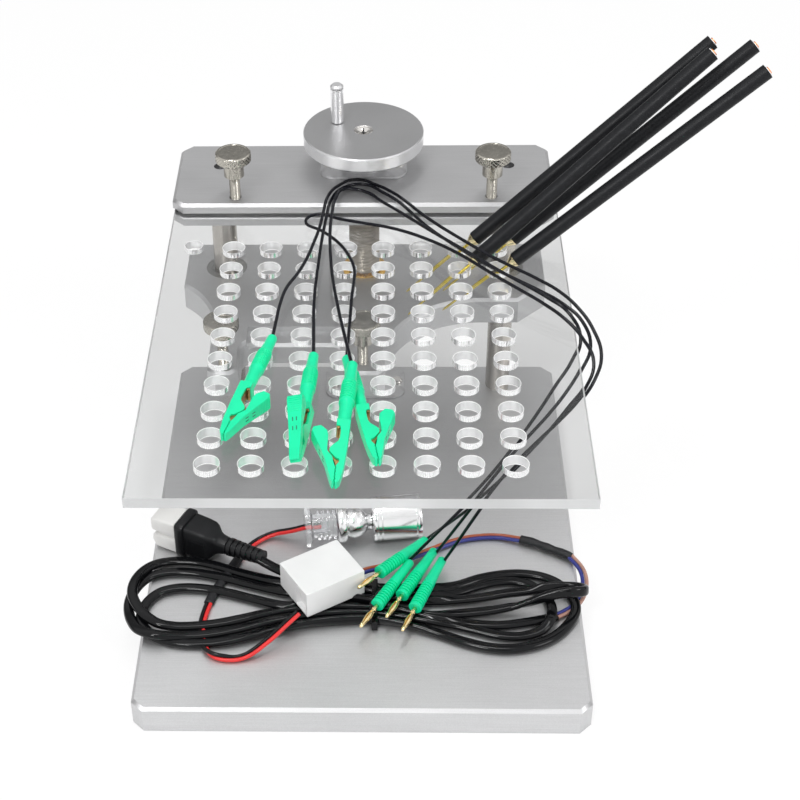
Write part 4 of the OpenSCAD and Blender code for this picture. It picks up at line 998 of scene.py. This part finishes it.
def set_world():
    """White for the camera and through clear parts; reflections see a sky that darkens towards the back."""
    world = bpy.data.worlds.new("studio")
    scene.world = world
    world.use_nodes = True
    tree = world.node_tree
    tree.nodes.clear()
    rays, coords = add_node(tree, "LightPath").outputs, add_node(tree, "TexCoord")

    def towards(*way):
        """How far a ray points this way."""
        dot = add_node(tree, "VectorMath", coords.outputs["Generated"], operation="DOT_PRODUCT")
        dot.inputs[1].default_value = way
        return dot.outputs["Value"]

    height = add_node(tree, "MapRange", towards(0.12, -0.549, 0.827), From_Min=-1)
    ramp = add_node(tree, "ValToRGB", height.outputs[0])
    strength = 1.2
    ramp.color_ramp.elements.remove(ramp.color_ramp.elements[0])
    for at, level in ((0.0, 0.3), (0.25, 0.36), (0.46, 0.30), (0.61, 1.04), (0.9, 1.04), (0.985, 1.0)):
        ramp.color_ramp.elements.new(at).color = (level / strength, level / strength, level / strength, 1)
    ramp.color_ramp.elements[-1].color = (0.83, 0.83, 0.83, 1)
    patch = add_node(tree, "MapRange", towards(0, -0.76, 0.65), From_Min=0.986, From_Max=0.994, To_Min=strength,
                     To_Max=0.25)
    white_light = (1, 1, 1, 1)
    seen = add_node(tree, "Background", Color=white_light, Strength=1.0)
    soft = add_node(tree, "Background", Color=white_light, Strength=0.6)
    sky = add_node(tree, "Background", ramp.outputs[0], patch.outputs[0])
    clear = add_node(tree, "Math", rays["Is Camera Ray"], rays["Is Transmission Ray"], operation="MAXIMUM")
    lit = add_node(tree, "MixShader", rays["Is Glossy Ray"], soft.outputs[0], sky.outputs[0])
    final = add_node(tree, "MixShader", clear.outputs[0], lit.outputs[0], seen.outputs[0])
    add_node(tree, "OutputWorld", final.outputs[0])


def add_area(name, place, target, size, power):
    data = bpy.data.lights.new(name, "AREA")
    data.shape = "RECTANGLE"
    data.size, data.size_y = size
    data.energy = power
    lamp = bpy.data.objects.new(name, data)
    lamp.location = place
    lamp.rotation_mode = "QUATERNION"
    lamp.rotation_quaternion = (Vector(target) - Vector(place)).to_track_quat("-Z", "Y")
    scene.collection.objects.link(lamp)


set_world()
add_area("top", (-0.1, 0.05, 1.65), (0, -0.02, 0.06), (1.1, 0.16), 7.5)
add_area("key", (-0.5, -1.1, 1.5), (0, -0.02, 0.06), (0.4, 0.24), 10)
add_area("fill", (1.1, -0.7, 1.1), (0, 0, 0.06), (0.5, 0.5), 6)


def make_floor():
    """White floor that shines by itself for the camera, so that only the shadow shows."""
    far, z = 4, -0.0002
    data = mesh_of("floor", [(-far, -far, z), (far, -far, z), (far, far, z), (-far, far, z)], [(0, 1, 2, 3)])
    floor = bpy.data.objects.new("floor", data)
    scene.collection.objects.link(floor)
    finish = Finish("floor paint", (0.97, 0.97, 0.97, 1), 0.9).mottle(2, 0.004)
    rays = finish.add("LightPath").outputs
    seen = finish.add("Math", rays["Is Camera Ray"], operation="MULTIPLY")
    seen.inputs[1].default_value = 0.84
    share = finish.add("Math", rays["Is Transmission Ray"], operation="MULTIPLY_ADD")
    share.inputs[1].default_value = 0.02
    finish.link(seen.outputs[0], share.inputs[2])
    glow = finish.add("Emission", Color=(1, 1, 1, 1))
    finish.surface(finish.add("MixShader", share.outputs[0], finish.shader.outputs[0], glow.outputs[0]))
    data.materials.append(finish.material)


make_floor()
scene.view_settings.view_transform = "Standard"
